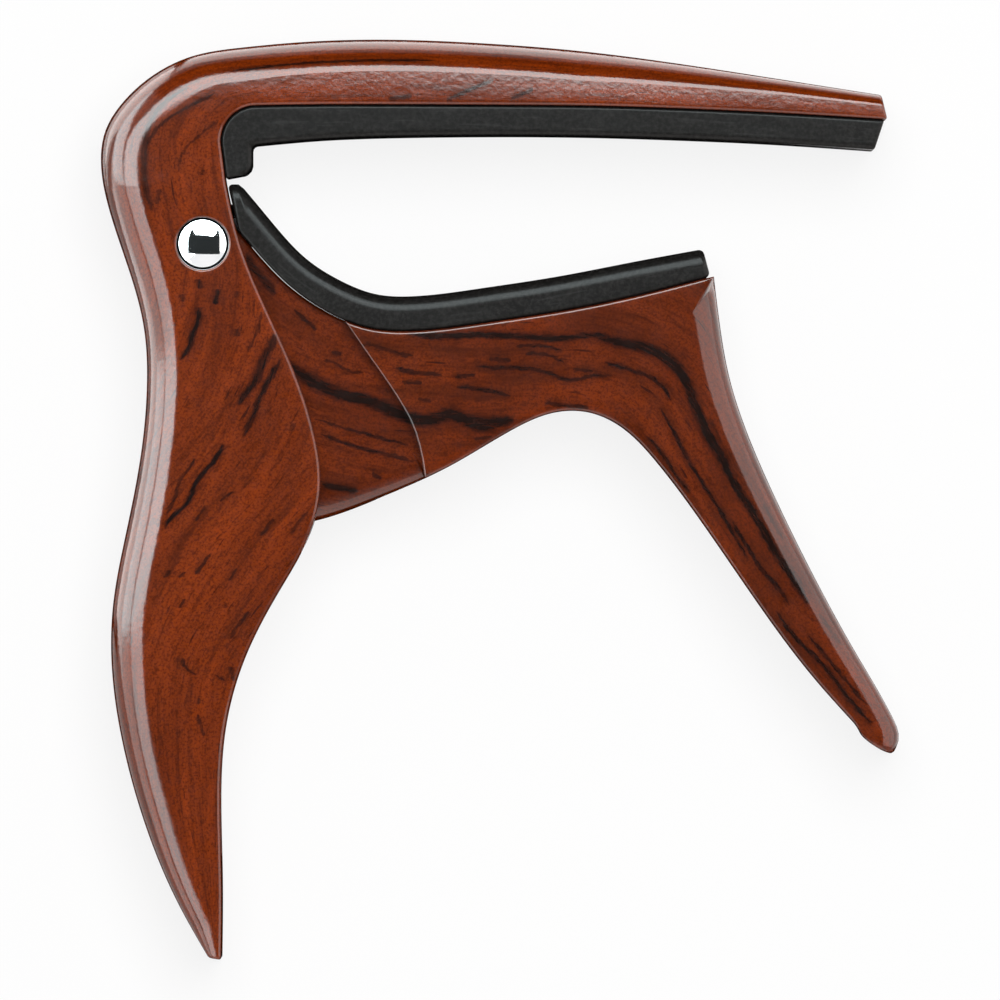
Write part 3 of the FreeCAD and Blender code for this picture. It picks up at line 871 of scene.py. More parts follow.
@dataclass(frozen=True)
class Signal:
    """Output socket of a node, with arithmetic that adds Math nodes."""

    graph: Graph
    socket: bpy.types.NodeSocket

    def math(self, operation: str, *others: Any) -> "Signal":
        """Add a Math node whose first input is this signal."""
        return self.graph.signal("Math", {"operation": operation}, dict(enumerate((self, *others))))

    def flipped(self, operation: str, first: Any) -> "Signal":
        """Add a Math node whose second input is this signal."""
        return self.graph.signal("Math", {"operation": operation}, {0: first, 1: self})

    def __add__(self, other: Any) -> "Signal":
        """Sum."""
        return self.math("ADD", other)

    def __radd__(self, other: Any) -> "Signal":
        """Sum, with a plain number first."""
        return self.flipped("ADD", other)

    def __sub__(self, other: Any) -> "Signal":
        """Difference."""
        return self.math("SUBTRACT", other)

    def __rsub__(self, other: Any) -> "Signal":
        """Difference, with a plain number first."""
        return self.flipped("SUBTRACT", other)

    def __mul__(self, other: Any) -> "Signal":
        """Product."""
        return self.math("MULTIPLY", other)

    def __rmul__(self, other: Any) -> "Signal":
        """Product, with a plain number first."""
        return self.flipped("MULTIPLY", other)

    def ramp(self, start: float, end: float) -> "Signal":
        """Smooth step from 0 at a start to 1 at an end.

        Args:
            start: value of this signal at which the step is 0.
            end: value at which it is 1, above or below the start.

        Returns:
            The step.
        """
        low, high, at_low = (start, end, 0.0) if start < end else (end, start, 1.0)
        inputs = {0: self, 1: low, 2: high, 3: at_low, 4: 1.0 - at_low}
        return self.graph.signal("MapRange", {"interpolation_type": "SMOOTHSTEP"}, inputs)


# --------------------------------------------------------------------------------------------- finishes

SHADER_SOCKETS = {
    "colour": "Base Color", "roughness": "Roughness", "normal": "Normal",
    "metallic": "Metallic", "ior": "IOR",
}


def from_screen(red: int, green: int, blue: int) -> tuple[float, float, float, float]:
    """Linear colour of a screen colour: each channel over 255, through the screen's curve, and full alpha.

    Args:
        red: red from 0 to 255.
        green: green from 0 to 255.
        blue: blue from 0 to 255.

    Returns:
        The colour with its alpha.
    """
    share = np.array([red, green, blue]) / 255
    linear = np.where(share < 0.04045, share / 12.92, ((share + 0.055) / 1.055) ** 2.4)
    return tuple(float(value) for value in (*linear, 1.0))


def open_material(name: str, **constants: Any) -> tuple[bpy.types.Material, Graph, bpy.types.Node]:
    """Start a material.

    Args:
        name: name of the material.
        constants: numbers for sockets of its shader, by their names in the table above.

    Returns:
        The material, its graph and its shader.
    """
    material = bpy.data.materials.new(name)
    material.use_nodes = True
    shader = material.node_tree.nodes["Principled BSDF"]
    for socket, value in constants.items():
        shader.inputs[SHADER_SOCKETS[socket]].default_value = value
    return material, Graph(material.node_tree), shader


def connect(graph: Graph, shader: bpy.types.Node, **signals: Signal) -> None:
    """Link signals to the shader's sockets.

    Args:
        graph: the material's graph.
        shader: its shader.
        signals: the signals, by their names in the table above.
    """
    for name, signal in signals.items():
        graph.tree.links.new(signal.socket, shader.inputs[SHADER_SOCKETS[name]])


def bump(graph: Graph, height: Signal, depth: float) -> Signal:
    """Normal that a height between 0 and 1 gives, for a depth in metres."""
    return graph.signal("Bump", {}, {"Height": height, "Distance": depth, "Strength": 1.0})


@dataclass(frozen=True)
class Vein:
    """Dark line of the wood print: its width, how dark it is, and the points that it passes."""

    width: float
    dark: float
    points: tuple[Point, ...]


@dataclass(frozen=True)
class Streaks:
    """Noise drawn out along the grain: its scales along and across, and its own place in the noise."""

    along: float
    across: float
    place: float
    detail: float
    rough: float = 0.5

    def make(self, graph: Graph, flow: Signal, grain: Signal) -> Signal:
        """Noise over the grain's two coordinates, each times its scale."""
        return graph.noise(graph.joined(flow * self.along, grain * self.across, self.place), 1.0, self.detail,
                           self.rough)


@dataclass(frozen=True)
class WoodFilm:
    """Printed rosewood film under satin lacquer."""

    veins: tuple[Vein, ...]
    light: ScreenColour = (144, 53, 3)
    middle: ScreenColour = (116, 41, 3)
    deep: ScreenColour = (58, 18, 3)
    line: ScreenColour = (22, 9, 6)
    # colour of the painted shade in the pocket round the hinge pin
    gap: ScreenColour = (9, 8, 8)
    painted_shade_radius: float = 0.0         # radius of the painted shade that darkens the pocket round the hinge pin, or nothing
    ior: float = 1.38
    satin: float = 0.14
    across_limit: float = 56.0      # widest range of distances across a casting, in millimetres
    lowest_across: float = -30.0
    wobble: float = 0.32            # how far the veins wander from where they are drawn
    spread: float = 1.45            # how much wider than its drawn width the ink runs
    faintness: float = 0.7          # below 1, the fainter veins come out darker than drawn
    least_run: float = 0.6          # shortest distance along the piece that a vein covers
    taper: float = 9.0              # the higher, the sooner a vein has its full width
    taper_share: float = 0.7        # share of its half width that a vein loses at its ends
    ink_edge: Point = (1.4, 0.3)    # shares of the half width over which the ink fades in
    halo: float = 0.32              # darkness of the stain beside a vein
    halo_reach: Point = (2.4, 0.5)  # how far it reaches: so many half widths, and millimetres more
    satin_change: float = 0.08
    peel: float = 0.000012          # depth of the lacquer's orange peel, in metres
    peel_scale: float = 1700.0
    edge_wear: Streaks = Streaks(1.1, 3.0, 0.0, 3.0, 0.6)
    slow: Streaks = Streaks(0.06, 0.35, 0.0, 2.0)
    bands: Streaks = Streaks(0.10, 1.3, 3.0, 3.0, 0.55)
    flecks: Streaks = Streaks(0.9, 2.4, 17.0, 3.0, 0.6)
    fibre: Streaks = Streaks(0.5, 5.0, 7.0, 3.0, 0.6)
    pores: Streaks = Streaks(0.34, 2.6, 11.0, 1.0)
    crowd: Streaks = Streaks(0.08, 0.5, 5.0, 1.0)       # where the pores stand close

    def vein_mask(self, graph: Graph, vein: Vein, along: Signal, across: Signal, path: np.ndarray) -> Signal:
        """How much of a vein's ink is at a point.

        The distance to the vein is the distance across less the vein's own, read from a curve over the
        distance along. The ink fades over the vein's width, which shrinks to nothing at both of its ends,
        and a faint stain reaches further out.

        Args:
            graph: the material's graph.
            vein: the vein.
            along: distance along the piece.
            across: distance across the piece, as a share of its limit.
            path: the vein's points as distances along and across.

        Returns:
            A signal from 0 to the vein's darkness.
        """
        path = path[np.argsort(path[:, 0])]
        start, end = path[0, 0], max(path[-1, 0], path[0, 0] + self.least_run)
        share = np.clip((path[:, 0] - start) / (end - start), 0, 1)
        share[1:-1] = np.clip(share[1:-1], 0.01, 0.99)
        level = (path[:, 1] - self.lowest_across) / self.across_limit
        done = graph.signal("MapRange", {}, {0: along, 1: start, 2: end, 3: 0.0, 4: 1.0})
        line = graph.curve(done, np.stack([share, level], axis=-1))
        away = (across - line).math("ABSOLUTE")
        taper = (done * (1 - done) * self.taper).math("MINIMUM", 1.0)
        half = vein.width / 2 / self.across_limit * self.spread
        edge = away + (1 - taper) * (self.taper_share * half)
        widths, more = self.halo_reach
        stain = edge.ramp(widths * half + more / self.across_limit, 0.0) * self.halo
        faint, full = self.ink_edge
        inked = edge.ramp(faint * half, full * half).math("MAXIMUM", stain)
        return inked * taper.ramp(0.0, 0.3) * vein.dark**self.faintness

    def make(self, name: str, loft: Loft) -> bpy.types.Material:
        """Mix the print from slow and fibrous noise, its drawn veins and short pores, under the lacquer, with
        painted shade in the pin's pocket.

        Args:
            name: name of the material.
            loft: the loft of the piece, which says where the veins lie on it.

        Returns:
            The material.
        """
        material, graph, shader = open_material(name, ior=self.ior)
        along, across = graph.layer(PLACE_LAYER)
        flow, grain = graph.layer(GRAIN_LAYER)
        place = graph.object_place()
        ragged = self.edge_wear.make(graph, flow, grain) - 0.5
        shifted = (across - self.lowest_across + ragged * self.wobble * 2) * (1 / self.across_limit)
        ink = None
        for vein in self.veins:
            line = smooth(vein.points) if len(vein.points) > 2 else straight(*vein.points)
            places = line.at(np.linspace(0, line.length, max(3, round(line.length / VEIN_STEP))))
            mask = self.vein_mask(graph, vein, along, shifted, loft.locate(places))
            ink = mask if ink is None else ink.math("MAXIMUM", mask)
        slow, bands, flecks, fibre = (
            streaks.make(graph, flow, grain) for streaks in (self.slow, self.bands, self.flecks, self.fibre)
        )
        speck = graph.noise(place, 4200.0, 3.0, 0.7)
        pores = self.pores.make(graph, flow, grain).ramp(0.64, 0.74)
        crowd = self.crowd.make(graph, flow, grain).ramp(0.42, 0.6)
        base = graph.mix(slow.ramp(0.3, 0.7), from_screen(*self.middle), from_screen(*self.light))
        for pattern, start, end, strength in (
            (bands, 0.46, 0.76, 0.6), (flecks, 0.48, 0.76, 0.65), (fibre, 0.45, 0.85, 0.5),
            (speck, 0.42, 0.66, 0.6),
        ):
            base = graph.mix(pattern.ramp(start, end) * strength, base, from_screen(*self.deep))
        ink = (ink * (0.66 + fibre * 0.7)).math("MAXIMUM", pores * crowd * 0.75).math("MINIMUM", 1.0)
        colour = graph.mix(ink, base, from_screen(*self.line))
        # Painted shade: within the radius about the hinge pin, the pocket's floor and wall are coloured near
        # black
        if self.painted_shade_radius:
            flat = graph.vector("MULTIPLY", place, (1.0, 1.0, 0.0))
            centre = (PIVOT[0] * MM, PIVOT[1] * MM, 0.0)
            reach = graph.signal("VectorMath", {"operation": "DISTANCE"}, {0: flat, 1: centre}, 1)
            edge = self.painted_shade_radius * MM
            colour = graph.mix(reach.ramp(edge + 0.00003, edge), colour, from_screen(*self.gap))
        satin = self.satin + (graph.noise(place, 900.0) - 0.5) * self.satin_change
        peel = graph.noise(place, self.peel_scale)
        connect(graph, shader, colour=colour, roughness=satin, normal=bump(graph, peel, self.peel))
        return material


@dataclass(frozen=True)
class Rubber:
    """Black moulded silicone with a faint dusty grain."""

    dark: ScreenColour = (22, 21, 20)
    pale: ScreenColour = (45, 43, 42)
    roughness: float = 0.26
    roughness_change: float = 0.12
    ior: float = 1.17
    dust_scale: float = 2600.0
    dust_share: float = 0.7         # of the paler grey; the rest follows the wiping marks
    depth: float = 0.000006         # of the skin's grain, in metres
    wiping: Streaks = Streaks(0.12, 1.4, 0.0, 3.0, 0.6)

    def make(self, name: str) -> bpy.types.Material:
        """Mix the two greys with fine noise and give the skin a fine bump.

        Args:
            name: name of the material.

        Returns:
            The material.
        """
        material, graph, shader = open_material(name, ior=self.ior)
        place = graph.object_place()
        along, across = graph.layer(PLACE_LAYER)
        dust = graph.noise(place, self.dust_scale, 4.0, 0.65)
        wiped = self.wiping.make(graph, along, across)
        share = dust.ramp(0.35, 0.75) * self.dust_share + wiped.ramp(0.5, 0.8) * (1 - self.dust_share)
        colour = graph.mix(share, from_screen(*self.dark), from_screen(*self.pale))
        rough = self.roughness + (wiped - 0.5) * self.roughness_change
        connect(graph, shader, colour=colour, roughness=rough, normal=bump(graph, dust, self.depth))
        return material


@dataclass(frozen=True)
class Metal:
    """Metal with faint marks from its making."""

    bright: ScreenColour
    dull: ScreenColour
    roughness: float
    depth: float                    # of the marks, in metres
    cloud_scale: float = 350.0
    mark_scale: float = 1800.0
    mark_stretch: Triple = (1.0, 1.0, 6.0)

    def make(self, name: str) -> bpy.types.Material:
        """Vary the colour and the gloss a little with cloudy and fine noise.

        Args:
            name: name of the material.

        Returns:
            The material.
        """
        material, graph, shader = open_material(name, metallic=1.0)
        place = graph.object_place()
        cloud = graph.noise(place, self.cloud_scale, 3.0)
        fine = graph.noise(graph.vector("MULTIPLY", place, self.mark_stretch), self.mark_scale, 3.0, 0.6)
        colour = graph.mix(cloud.ramp(0.35, 0.75), from_screen(*self.bright), from_screen(*self.dull))
        rough = self.roughness * (0.7 + cloud * 0.6)
        connect(graph, shader, colour=colour, roughness=rough, normal=bump(graph, fine, self.depth))
        return material


@dataclass(frozen=True)
class Nylon:
    """Natural moulded nylon."""

    pale: ScreenColour = (214, 210, 198)
    shade: ScreenColour = (184, 180, 168)
    roughness: Point = (0.35, 0.15)     # at its least, and how much more there may be
    cloud_scale: float = 500.0
    grain_scale: float = 4000.0
    depth: float = 0.000002             # of the grain, in metres

    def make(self, name: str) -> bpy.types.Material:
        """Mix two off-whites with cloudy noise under a soft gloss.

        Args:
            name: name of the material.

        Returns:
            The material.
        """
        material, graph, shader = open_material(name, ior=1.5)
        place = graph.object_place()
        cloud = graph.noise(place, self.cloud_scale, 3.0)
        fine = graph.noise(place, self.grain_scale, 2.0)
        colour = graph.mix(cloud.ramp(0.3, 0.7), from_screen(*self.pale), from_screen(*self.shade))
        rough = self.roughness[0] + cloud * self.roughness[1]
        connect(graph, shader, colour=colour, roughness=rough, normal=bump(graph, fine, self.depth))
        return material


CHROME = Metal((247, 247, 248), (238, 239, 241), roughness=0.035, depth=0.0000001)
SPRING_STEEL = Metal((150, 152, 156), (112, 112, 116), roughness=0.28, depth=0.000002)

ARM_VEINS: tuple[Vein, ...] = (
    Vein(0.5, 0.75, ((-30.1, 22.1), (-29.9, 21.1))),
    Vein(0.5, 0.9, ((-28.2, 21.1), (-28.3, 20.4), (-28.4, 19.5))),
    Vein(0.4, 0.5, ((-31.7, 20.6), (-31.7, 19.8))),
    Vein(0.6, 0.95, ((-30.1, 19.4), (-30, 18.3), (-30.6, 17.1), (-30.9, 15.6), (-32, 13.9))),
    Vein(0.5, 0.6, ((-26.2, 17.2), (-26.2, 16.4))),
    Vein(0.4, 0.4, ((-26.2, 20.9), (-26.3, 20.2))),
    Vein(0.3, 0.55, ((-23.8, 18.9), (-24.2, 16.9), (-24.8, 15.8), (-25.2, 14.7))),
    Vein(0.9, 0.85, ((-22.4, 16.8), (-23, 15.3), (-23.8, 13.5), (-24.5, 11.8), (-25.6, 10.3),
        (-26.1, 9.3))),
    Vein(0.6, 0.85, ((-21.8, 14.2), (-22.6, 12.8), (-23.6, 11.1), (-24.6, 8.4), (-25.7, 6.2))),
    Vein(0.4, 0.45, ((-20.7, 7.7), (-20.9, 6.9))),
    Vein(0.6, 0.95, ((-27.5, 5.8), (-28.9, 3.5), (-30.4, 1.6), (-31.4, -0.5), (-32.9, -1.9),
        (-33.5, -3.1))),
    Vein(0.4, 0.7, ((-30.4, 4.3), (-31.2, 3), (-31.9, 1.9), (-32.4, 0.6), (-33.5, -1.6))),
    Vein(0.3, 0.6, ((-25.8, 10.8), (-26.1, 9.7))),
    Vein(0.3, 0.6, ((-29.4, -0.5), (-30.4, -2.1))),
    Vein(0.4, 0.7, ((-26.6, 0.9), (-28, -0.2))),
    Vein(0.4, 0.6, ((-22.6, -1.9), (-24, -3.6))),
    Vein(0.4, 0.6, ((-19.2, -1.1), (-21, -3.4))),
    Vein(0.4, 0.75, ((-28.9, -5.3), (-30.4, -7.5))),
    Vein(0.3, 0.6, ((-26.3, -6.8), (-27, -8.1))),
    Vein(0.3, 0.6, ((-31.6, -7.2), (-32, -7.8))),
    Vein(0.4, 0.6, ((-33.1, -7), (-33.4, -7.8))),
    Vein(0.3, 0.6, ((-31.5, -9.8), (-32, -10.8))),
    Vein(0.3, 0.5, ((-27.3, -10.2), (-27.6, -10.8))),
    Vein(0.4, 0.65, ((-25.1, -11.1), (-26.1, -12.7))),
    Vein(0.4, 0.6, ((-25.7, -11.8), (-26.9, -13.9))),
    Vein(0.4, 0.7, ((-31.7, -15.8), (-31, -17.1), (-30.2, -17.6))),
    Vein(0.3, 0.6, ((-28.5, -17.4), (-27.5, -18.1))),
    Vein(0.4, 0.6, ((-26.9, -16.6), (-26.6, -18.1))),
    Vein(0.3, 0.55, ((-30.2, -21.4), (-29.6, -23.6))),
    Vein(0.3, 0.45, ((-30.1, -19.8), (-30.1, -20.4))),
    Vein(0.3, 0.5, ((-28.1, 37.9), (-30.6, 36), (-31.8, 34.5), (-32, 32.6))),
    Vein(0.4, 0.75, ((-28.3, 40.8), (-31.2, 39.2), (-33.5, 37.9), (-35, 36.4), (-35.6, 35),
        (-35.6, 32.6))),
    Vein(0.4, 0.5, ((-29.7, 33.1), (-29.8, 32.5))),
    Vein(0.4, 0.5, ((-34, 31.1), (-34.3, 29.6))),
    Vein(0.4, 0.8, ((-5.4, 40), (-2.9, 41), (-0.5, 41.9))),
    Vein(0.4, 0.75, ((1.1, 40.1), (3.4, 41))),
    Vein(0.4, 0.7, ((-11.2, 40.1), (-8.7, 40.4))),
    Vein(0.4, 0.85, ((-27.5, 43.2), (-22.0, 44.0), (-16.9, 44.45), (-11.0, 44.6), (-6.0, 44.6))),
    Vein(0.6, 0.7, ((-31.0, 41.6), (-33.6, 40.0), (-35.0, 38.2), (-35.6, 35.6), (-35.5, 32.0),
        (-34.6, 28.6))),
)
LEVER_VEINS: tuple[Vein, ...] = (
    Vein(0.8, 0.8, ((-25.4, 24.8), (-24.7, 23.3), (-23.6, 22.1), (-22.4, 20.5))),
    Vein(0.4, 0.7, ((-20.6, 19.1), (-19.1, 17.7), (-18.3, 17))),
    Vein(0.4, 0.7, ((-16.9, 14.8), (-15.8, 14.6))),
    Vein(0.3, 0.65, ((-17.8, 14), (-16.1, 13.5), (-14.8, 12.8), (-13.5, 12.8))),
    Vein(1.2, 0.95, ((-21.6, 14.3), (-20.9, 13.5), (-19.8, 12.5), (-18.1, 11.5), (-15.6, 10.5),
        (-13.1, 9.9), (-10.7, 8.9), (-8.8, 8.2), (-6.5, 8.1), (-5, 8.6), (-2.4, 7.5), (0.1, 7.2))),
    Vein(0.3, 0.7, ((-18.6, 8.2), (-16.4, 7.5), (-13.1, 6.5), (-9, 5.5))),
    Vein(0.4, 0.75, ((-18.1, 6.7), (-16.1, 5.9), (-13.1, 5), (-9.8, 4.2), (-8.5, 3.8))),
    Vein(0.6, 0.85, ((-17.8, 1.6), (-15.8, 1.2), (-14.1, 0.9))),
    Vein(0.4, 0.65, ((-12.8, 2.6), (-11.8, 2.1))),
    Vein(0.4, 0.6, ((-13.8, 15.7), (-12.1, 15.3), (-9.8, 14.6), (-8.5, 14.5))),
    Vein(0.4, 0.75, ((-10.5, 13.2), (-8.5, 12.8), (-5.7, 12.5))),
    Vein(0.3, 0.7, ((-4.5, 12.3), (-2.4, 12.5))),
    Vein(0.4, 0.7, ((-9.8, 11.8), (-7.7, 11.7))),
    Vein(0.3, 0.6, ((-8.2, 10.1), (-6.8, 9.9))),
    Vein(0.6, 0.9, ((-9.6, 16.6), (-5.9, 16.4), (-2.1, 16.5), (2.7, 16.3), (6.5, 16.2), (10.4, 16.4),
        (12.3, 15.7))),
    Vein(1, 0.95, ((9.1, 16.4), (12.3, 15.7), (14.6, 15.2), (16.7, 14.2), (18.2, 12.7), (19.2, 10.5),
        (20.3, 7.8), (21.6, 5.3), (23.6, 1.9))),
    Vein(0.8, 0.95, ((21.6, 5.3), (24, 0.8), (25.8, -2), (27.6, -5.2), (29.5, -8), (31.1, -10.7))),
    Vein(0.3, 0.75, ((1.6, 15.4), (4.8, 15.3), (6.3, 14.9))),
    Vein(0.3, 0.7, ((2.5, 14.6), (4.8, 14.5), (6.5, 13.7))),
    Vein(0.4, 0.7, ((-1.1, 14.1), (1.2, 14))),
    Vein(0.4, 0.75, ((-2.5, 13.4), (0.4, 13.2), (4.6, 12.8), (7.5, 12), (9.2, 12.4), (11.5, 12.3))),
    Vein(0.3, 0.7, ((7.3, 13.1), (9.4, 12.8))),
    Vein(0.4, 0.75, ((-4.4, 11.4), (-2.1, 11.1), (1.2, 10.4))),
    Vein(1, 0.9, ((-6.3, 8.7), (-4, 8.2), (-1.1, 7.8), (1.6, 8))),
    Vein(0.3, 0.6, ((-2.6, 6.1), (-0.7, 6.3))),
    Vein(0.4, 0.75, ((4.4, 9.7), (7.1, 9.4), (9, 9.2))),
    Vein(0.4, 0.8, ((10.4, 13.8), (12.5, 13.2), (14.8, 12.4), (16.5, 11.1), (17.2, 9.7))),
    Vein(0.4, 0.85, ((15.9, 9.5), (17.1, 7.4), (18.2, 5.3), (19.4, 3.1), (21.2, 0.3), (23.1, -2.9),
        (25.1, -6.3))),
    Vein(0.4, 0.8, ((14.6, 6.5), (16.1, 4.8), (17.6, 2.6), (19.1, 0.6))),
    Vein(0.3, 0.5, ((20.9, 8.6), (22.4, 5.2), (24.1, 1.3))),
    Vein(0.4, 0.8, ((23.1, -2), (25.1, -5.2), (26.7, -7.5), (28.1, -9.1), (29.1, -10.7))),
    Vein(0.4, 0.85, ((27.6, -10.9), (29.7, -13.9), (31.8, -15.9), (33.8, -18.4), (36.3, -21.4),
        (37.5, -22.6))),
    Vein(0.3, 0.75, ((30.8, -13.4), (33.1, -16.2), (35, -18.5), (36.8, -20.6))),
    Vein(0.4, 0.5, ((26.5, -0.3), (28.6, -3.8))),
    Vein(0.5, 0.5, ((32, -11.2), (34.3, -14.4))),
)


# ----------------------------------------------------------------------------------------------- bodies

class Body(Enum):
    """The two bodies of the capo."""

    ARM = "arm"
    LEVER = "lever"


def settle(piece: bpy.types.Object, body: Body, node: str) -> None:
    """Let a piece ride on its body and stand for its solid, which is hidden.

    Args:
        piece: the piece.
        body: the body that it moves with.
        node: name of the solid that it replaces.
    """
    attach(piece, body.value)
    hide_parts(node)
    log.info("%s: %d faces", piece.name, len(piece.data.polygons))


# --------------------------------------------------------------------------------------------- castings

@dataclass
class MainArm:
    """Casting with the upper bar, the shoulder, the two cheeks and the rear handle."""

    crowns: tuple[float, ...] = (
        1.0, 1.45, 2.85, 3.1, 3.4, 4.2, 4.4, 4.1, 3.8, 3.5, 3.5, 3.75, 3.7, 3.0, 2.6, 1.6,
    )
    inner_round: float = 0.32
    back_wall: float = 2.2
    end_round: float = 0.25
    side_points: int = 17
    painted_shade_radius: float = 2.62        # radius of the painted shade that darkens the pocket round the pin head, on the side
    outer_stations: list[Point] = field(default_factory=lambda: [
        (38.2, 40.5), (28.1, 42.1), (18.1, 43.65), (8.1, 44.95), (-1.9, 45.75), (-11.9, 46.1),
        (-19.9, 45.85), (-25.9, 45.3), (-30.9, 44.4), (-34.6, 42.6), (-37.7, 39.85), (-39.5, 36.9),
        (-39.9, 33.5), (-39.2, 29.5), (-37.2, 23.3), (-35.6, 17.2), (-35.3, 11.5), (-35.9, 4.6),
        (-37.5, -3.8), (-38.7, -10.6), (-38.8, -17.0), (-37.8, -24.0), (-35.5, -32.4), (-32.1, -40.5),
        (-29.1, -45.8),
    ])
    inner_stations: list[Point] = field(default_factory=lambda: [
        CHEEK_TOP, (-26.2, 26.5), (-24.2, 21.1), (-21.0, 14.0), (-18.5, 6.5), (-17.95, 1.0), (-19.1, -3.6),
        (-22.2, -9.3), (-25.6, -16.0), (-27.5, -23.0), (-27.95, -30.5), (-27.8, -38.0), (-27.85, -46.0),
    ])
    rungs: list[tuple[Point, Point]] = field(default_factory=lambda: [
        ((38.2, 40.5), (38.8, 38.05)), ((28.1, 42.1), (28.3, 38.7)), ((8.1, 44.95), (8.1, 39.45)),
        ((-19.9, 45.85), (-20.5, 39.5)), ((-30.9, 44.4), (-25.6, 39.2)), ((-37.7, 39.85), (-27.4, 37.5)),
        ((-39.9, 35.2), (-27.85, 35.3)), ((-39.6, 31.45), (-27.4, 31.45)), ((-37.2, 23.3), (-25.1, 23.6)),
        ((-35.6, 17.2), (-22.3, 17.2)), ((-35.9, 4.6), (-18.1, 4.6)), ((-37.5, -3.8), (-19.2, -3.8)),
        ((-38.8, -17.0), (-26.0, -17.0)), ((-35.5, -32.4), (-27.95, -31.0)),
        ((-34.25, -36.0), (-27.85, -35.5)), ((-29.1, -45.8), (-27.85, -46.0)),
    ])
    roof_rung: int = 7              # the channel starts at this rung
    floor_rung: int = 14            # and ends at this one
    ridge_tilts: tuple[float, ...] = (21, 21, 21, 19, 10, 4, 0, 0, 0, 0, 0, 0, 0, 0, 0, 0)
    side_tilts: tuple[float, ...] = (3.0, 3.4, 4.0, 3.4, 3.0, 3.2, 3.5, 0, 0, 0, 0, 0, 0, 0, 0, 0)
    side_powers: tuple[float, ...] = (1.25, 1.25, 1.25, 1.25, 1.8, 3, 3, 3, 3, 3, 3, 3, 3, 3, 3, 3)
    grain_drift: tuple[float, ...] = (0, 0, 0, 0, 0, 0, 0, 0, 0, 2.9, 9.0, 12.5, 14.5, 15, 15, 15)

    def build(self) -> bpy.types.Object:
        """Loft the casting, open its channel and cut the pockets of the pin heads.

        Returns:
            The casting, in its film.
        """
        outer = smooth(self.outer_stations)
        underside = smooth(BAR_UNDERSIDE).turned_round()
        corner = arc(*BAR_CORNER).turned_round()
        inner = underside + corner + straight(BAR_CORNER[0], CHEEK_TOP) + smooth(self.inner_stations)
        loft = Loft(outer, inner, self.rungs, end_round=self.end_round, side_points=self.side_points)
        roof, floor = loft.station_at(self.roof_rung), loft.station_at(self.floor_rung)
        loft = replace(loft, close_stations=(roof, floor))
        stations = loft.stations
        hollow = (stations > roof) & (stations < floor)
        section = Section(
            half_width=np.full_like(stations, BODY_WIDTH / 2),
            outer_round=loft.spread(self.crowns),
            inner_round=np.full_like(stations, self.inner_round),
            floor=np.where(hollow, self.back_wall, np.nan),
            channel=np.full_like(stations, SLOT_WIDTH / 2),
            ridge_tilt=loft.spread(self.ridge_tilts),
            side_tilt=loft.spread(self.side_tilts),
            side_power=loft.spread(self.side_powers),
        )
        piece = loft.surface(section, self.grain_drift).make("main_arm_finish")
        film = WoodFilm(ARM_VEINS, painted_shade_radius=self.painted_shade_radius)
        piece.data.materials.append(film.make("rosewood_film_arm", loft))
        bore = through_rod(PIN_RADIUS + BORE_CLEARANCE)
        return carve(piece, [head_pocket(BODY_WIDTH, -1), head_pocket(0.0, 1), bore])

    def dress(self) -> None:
        """Build the casting and settle it on the arm."""
        settle(self.build(), Body.ARM, "main_arm")


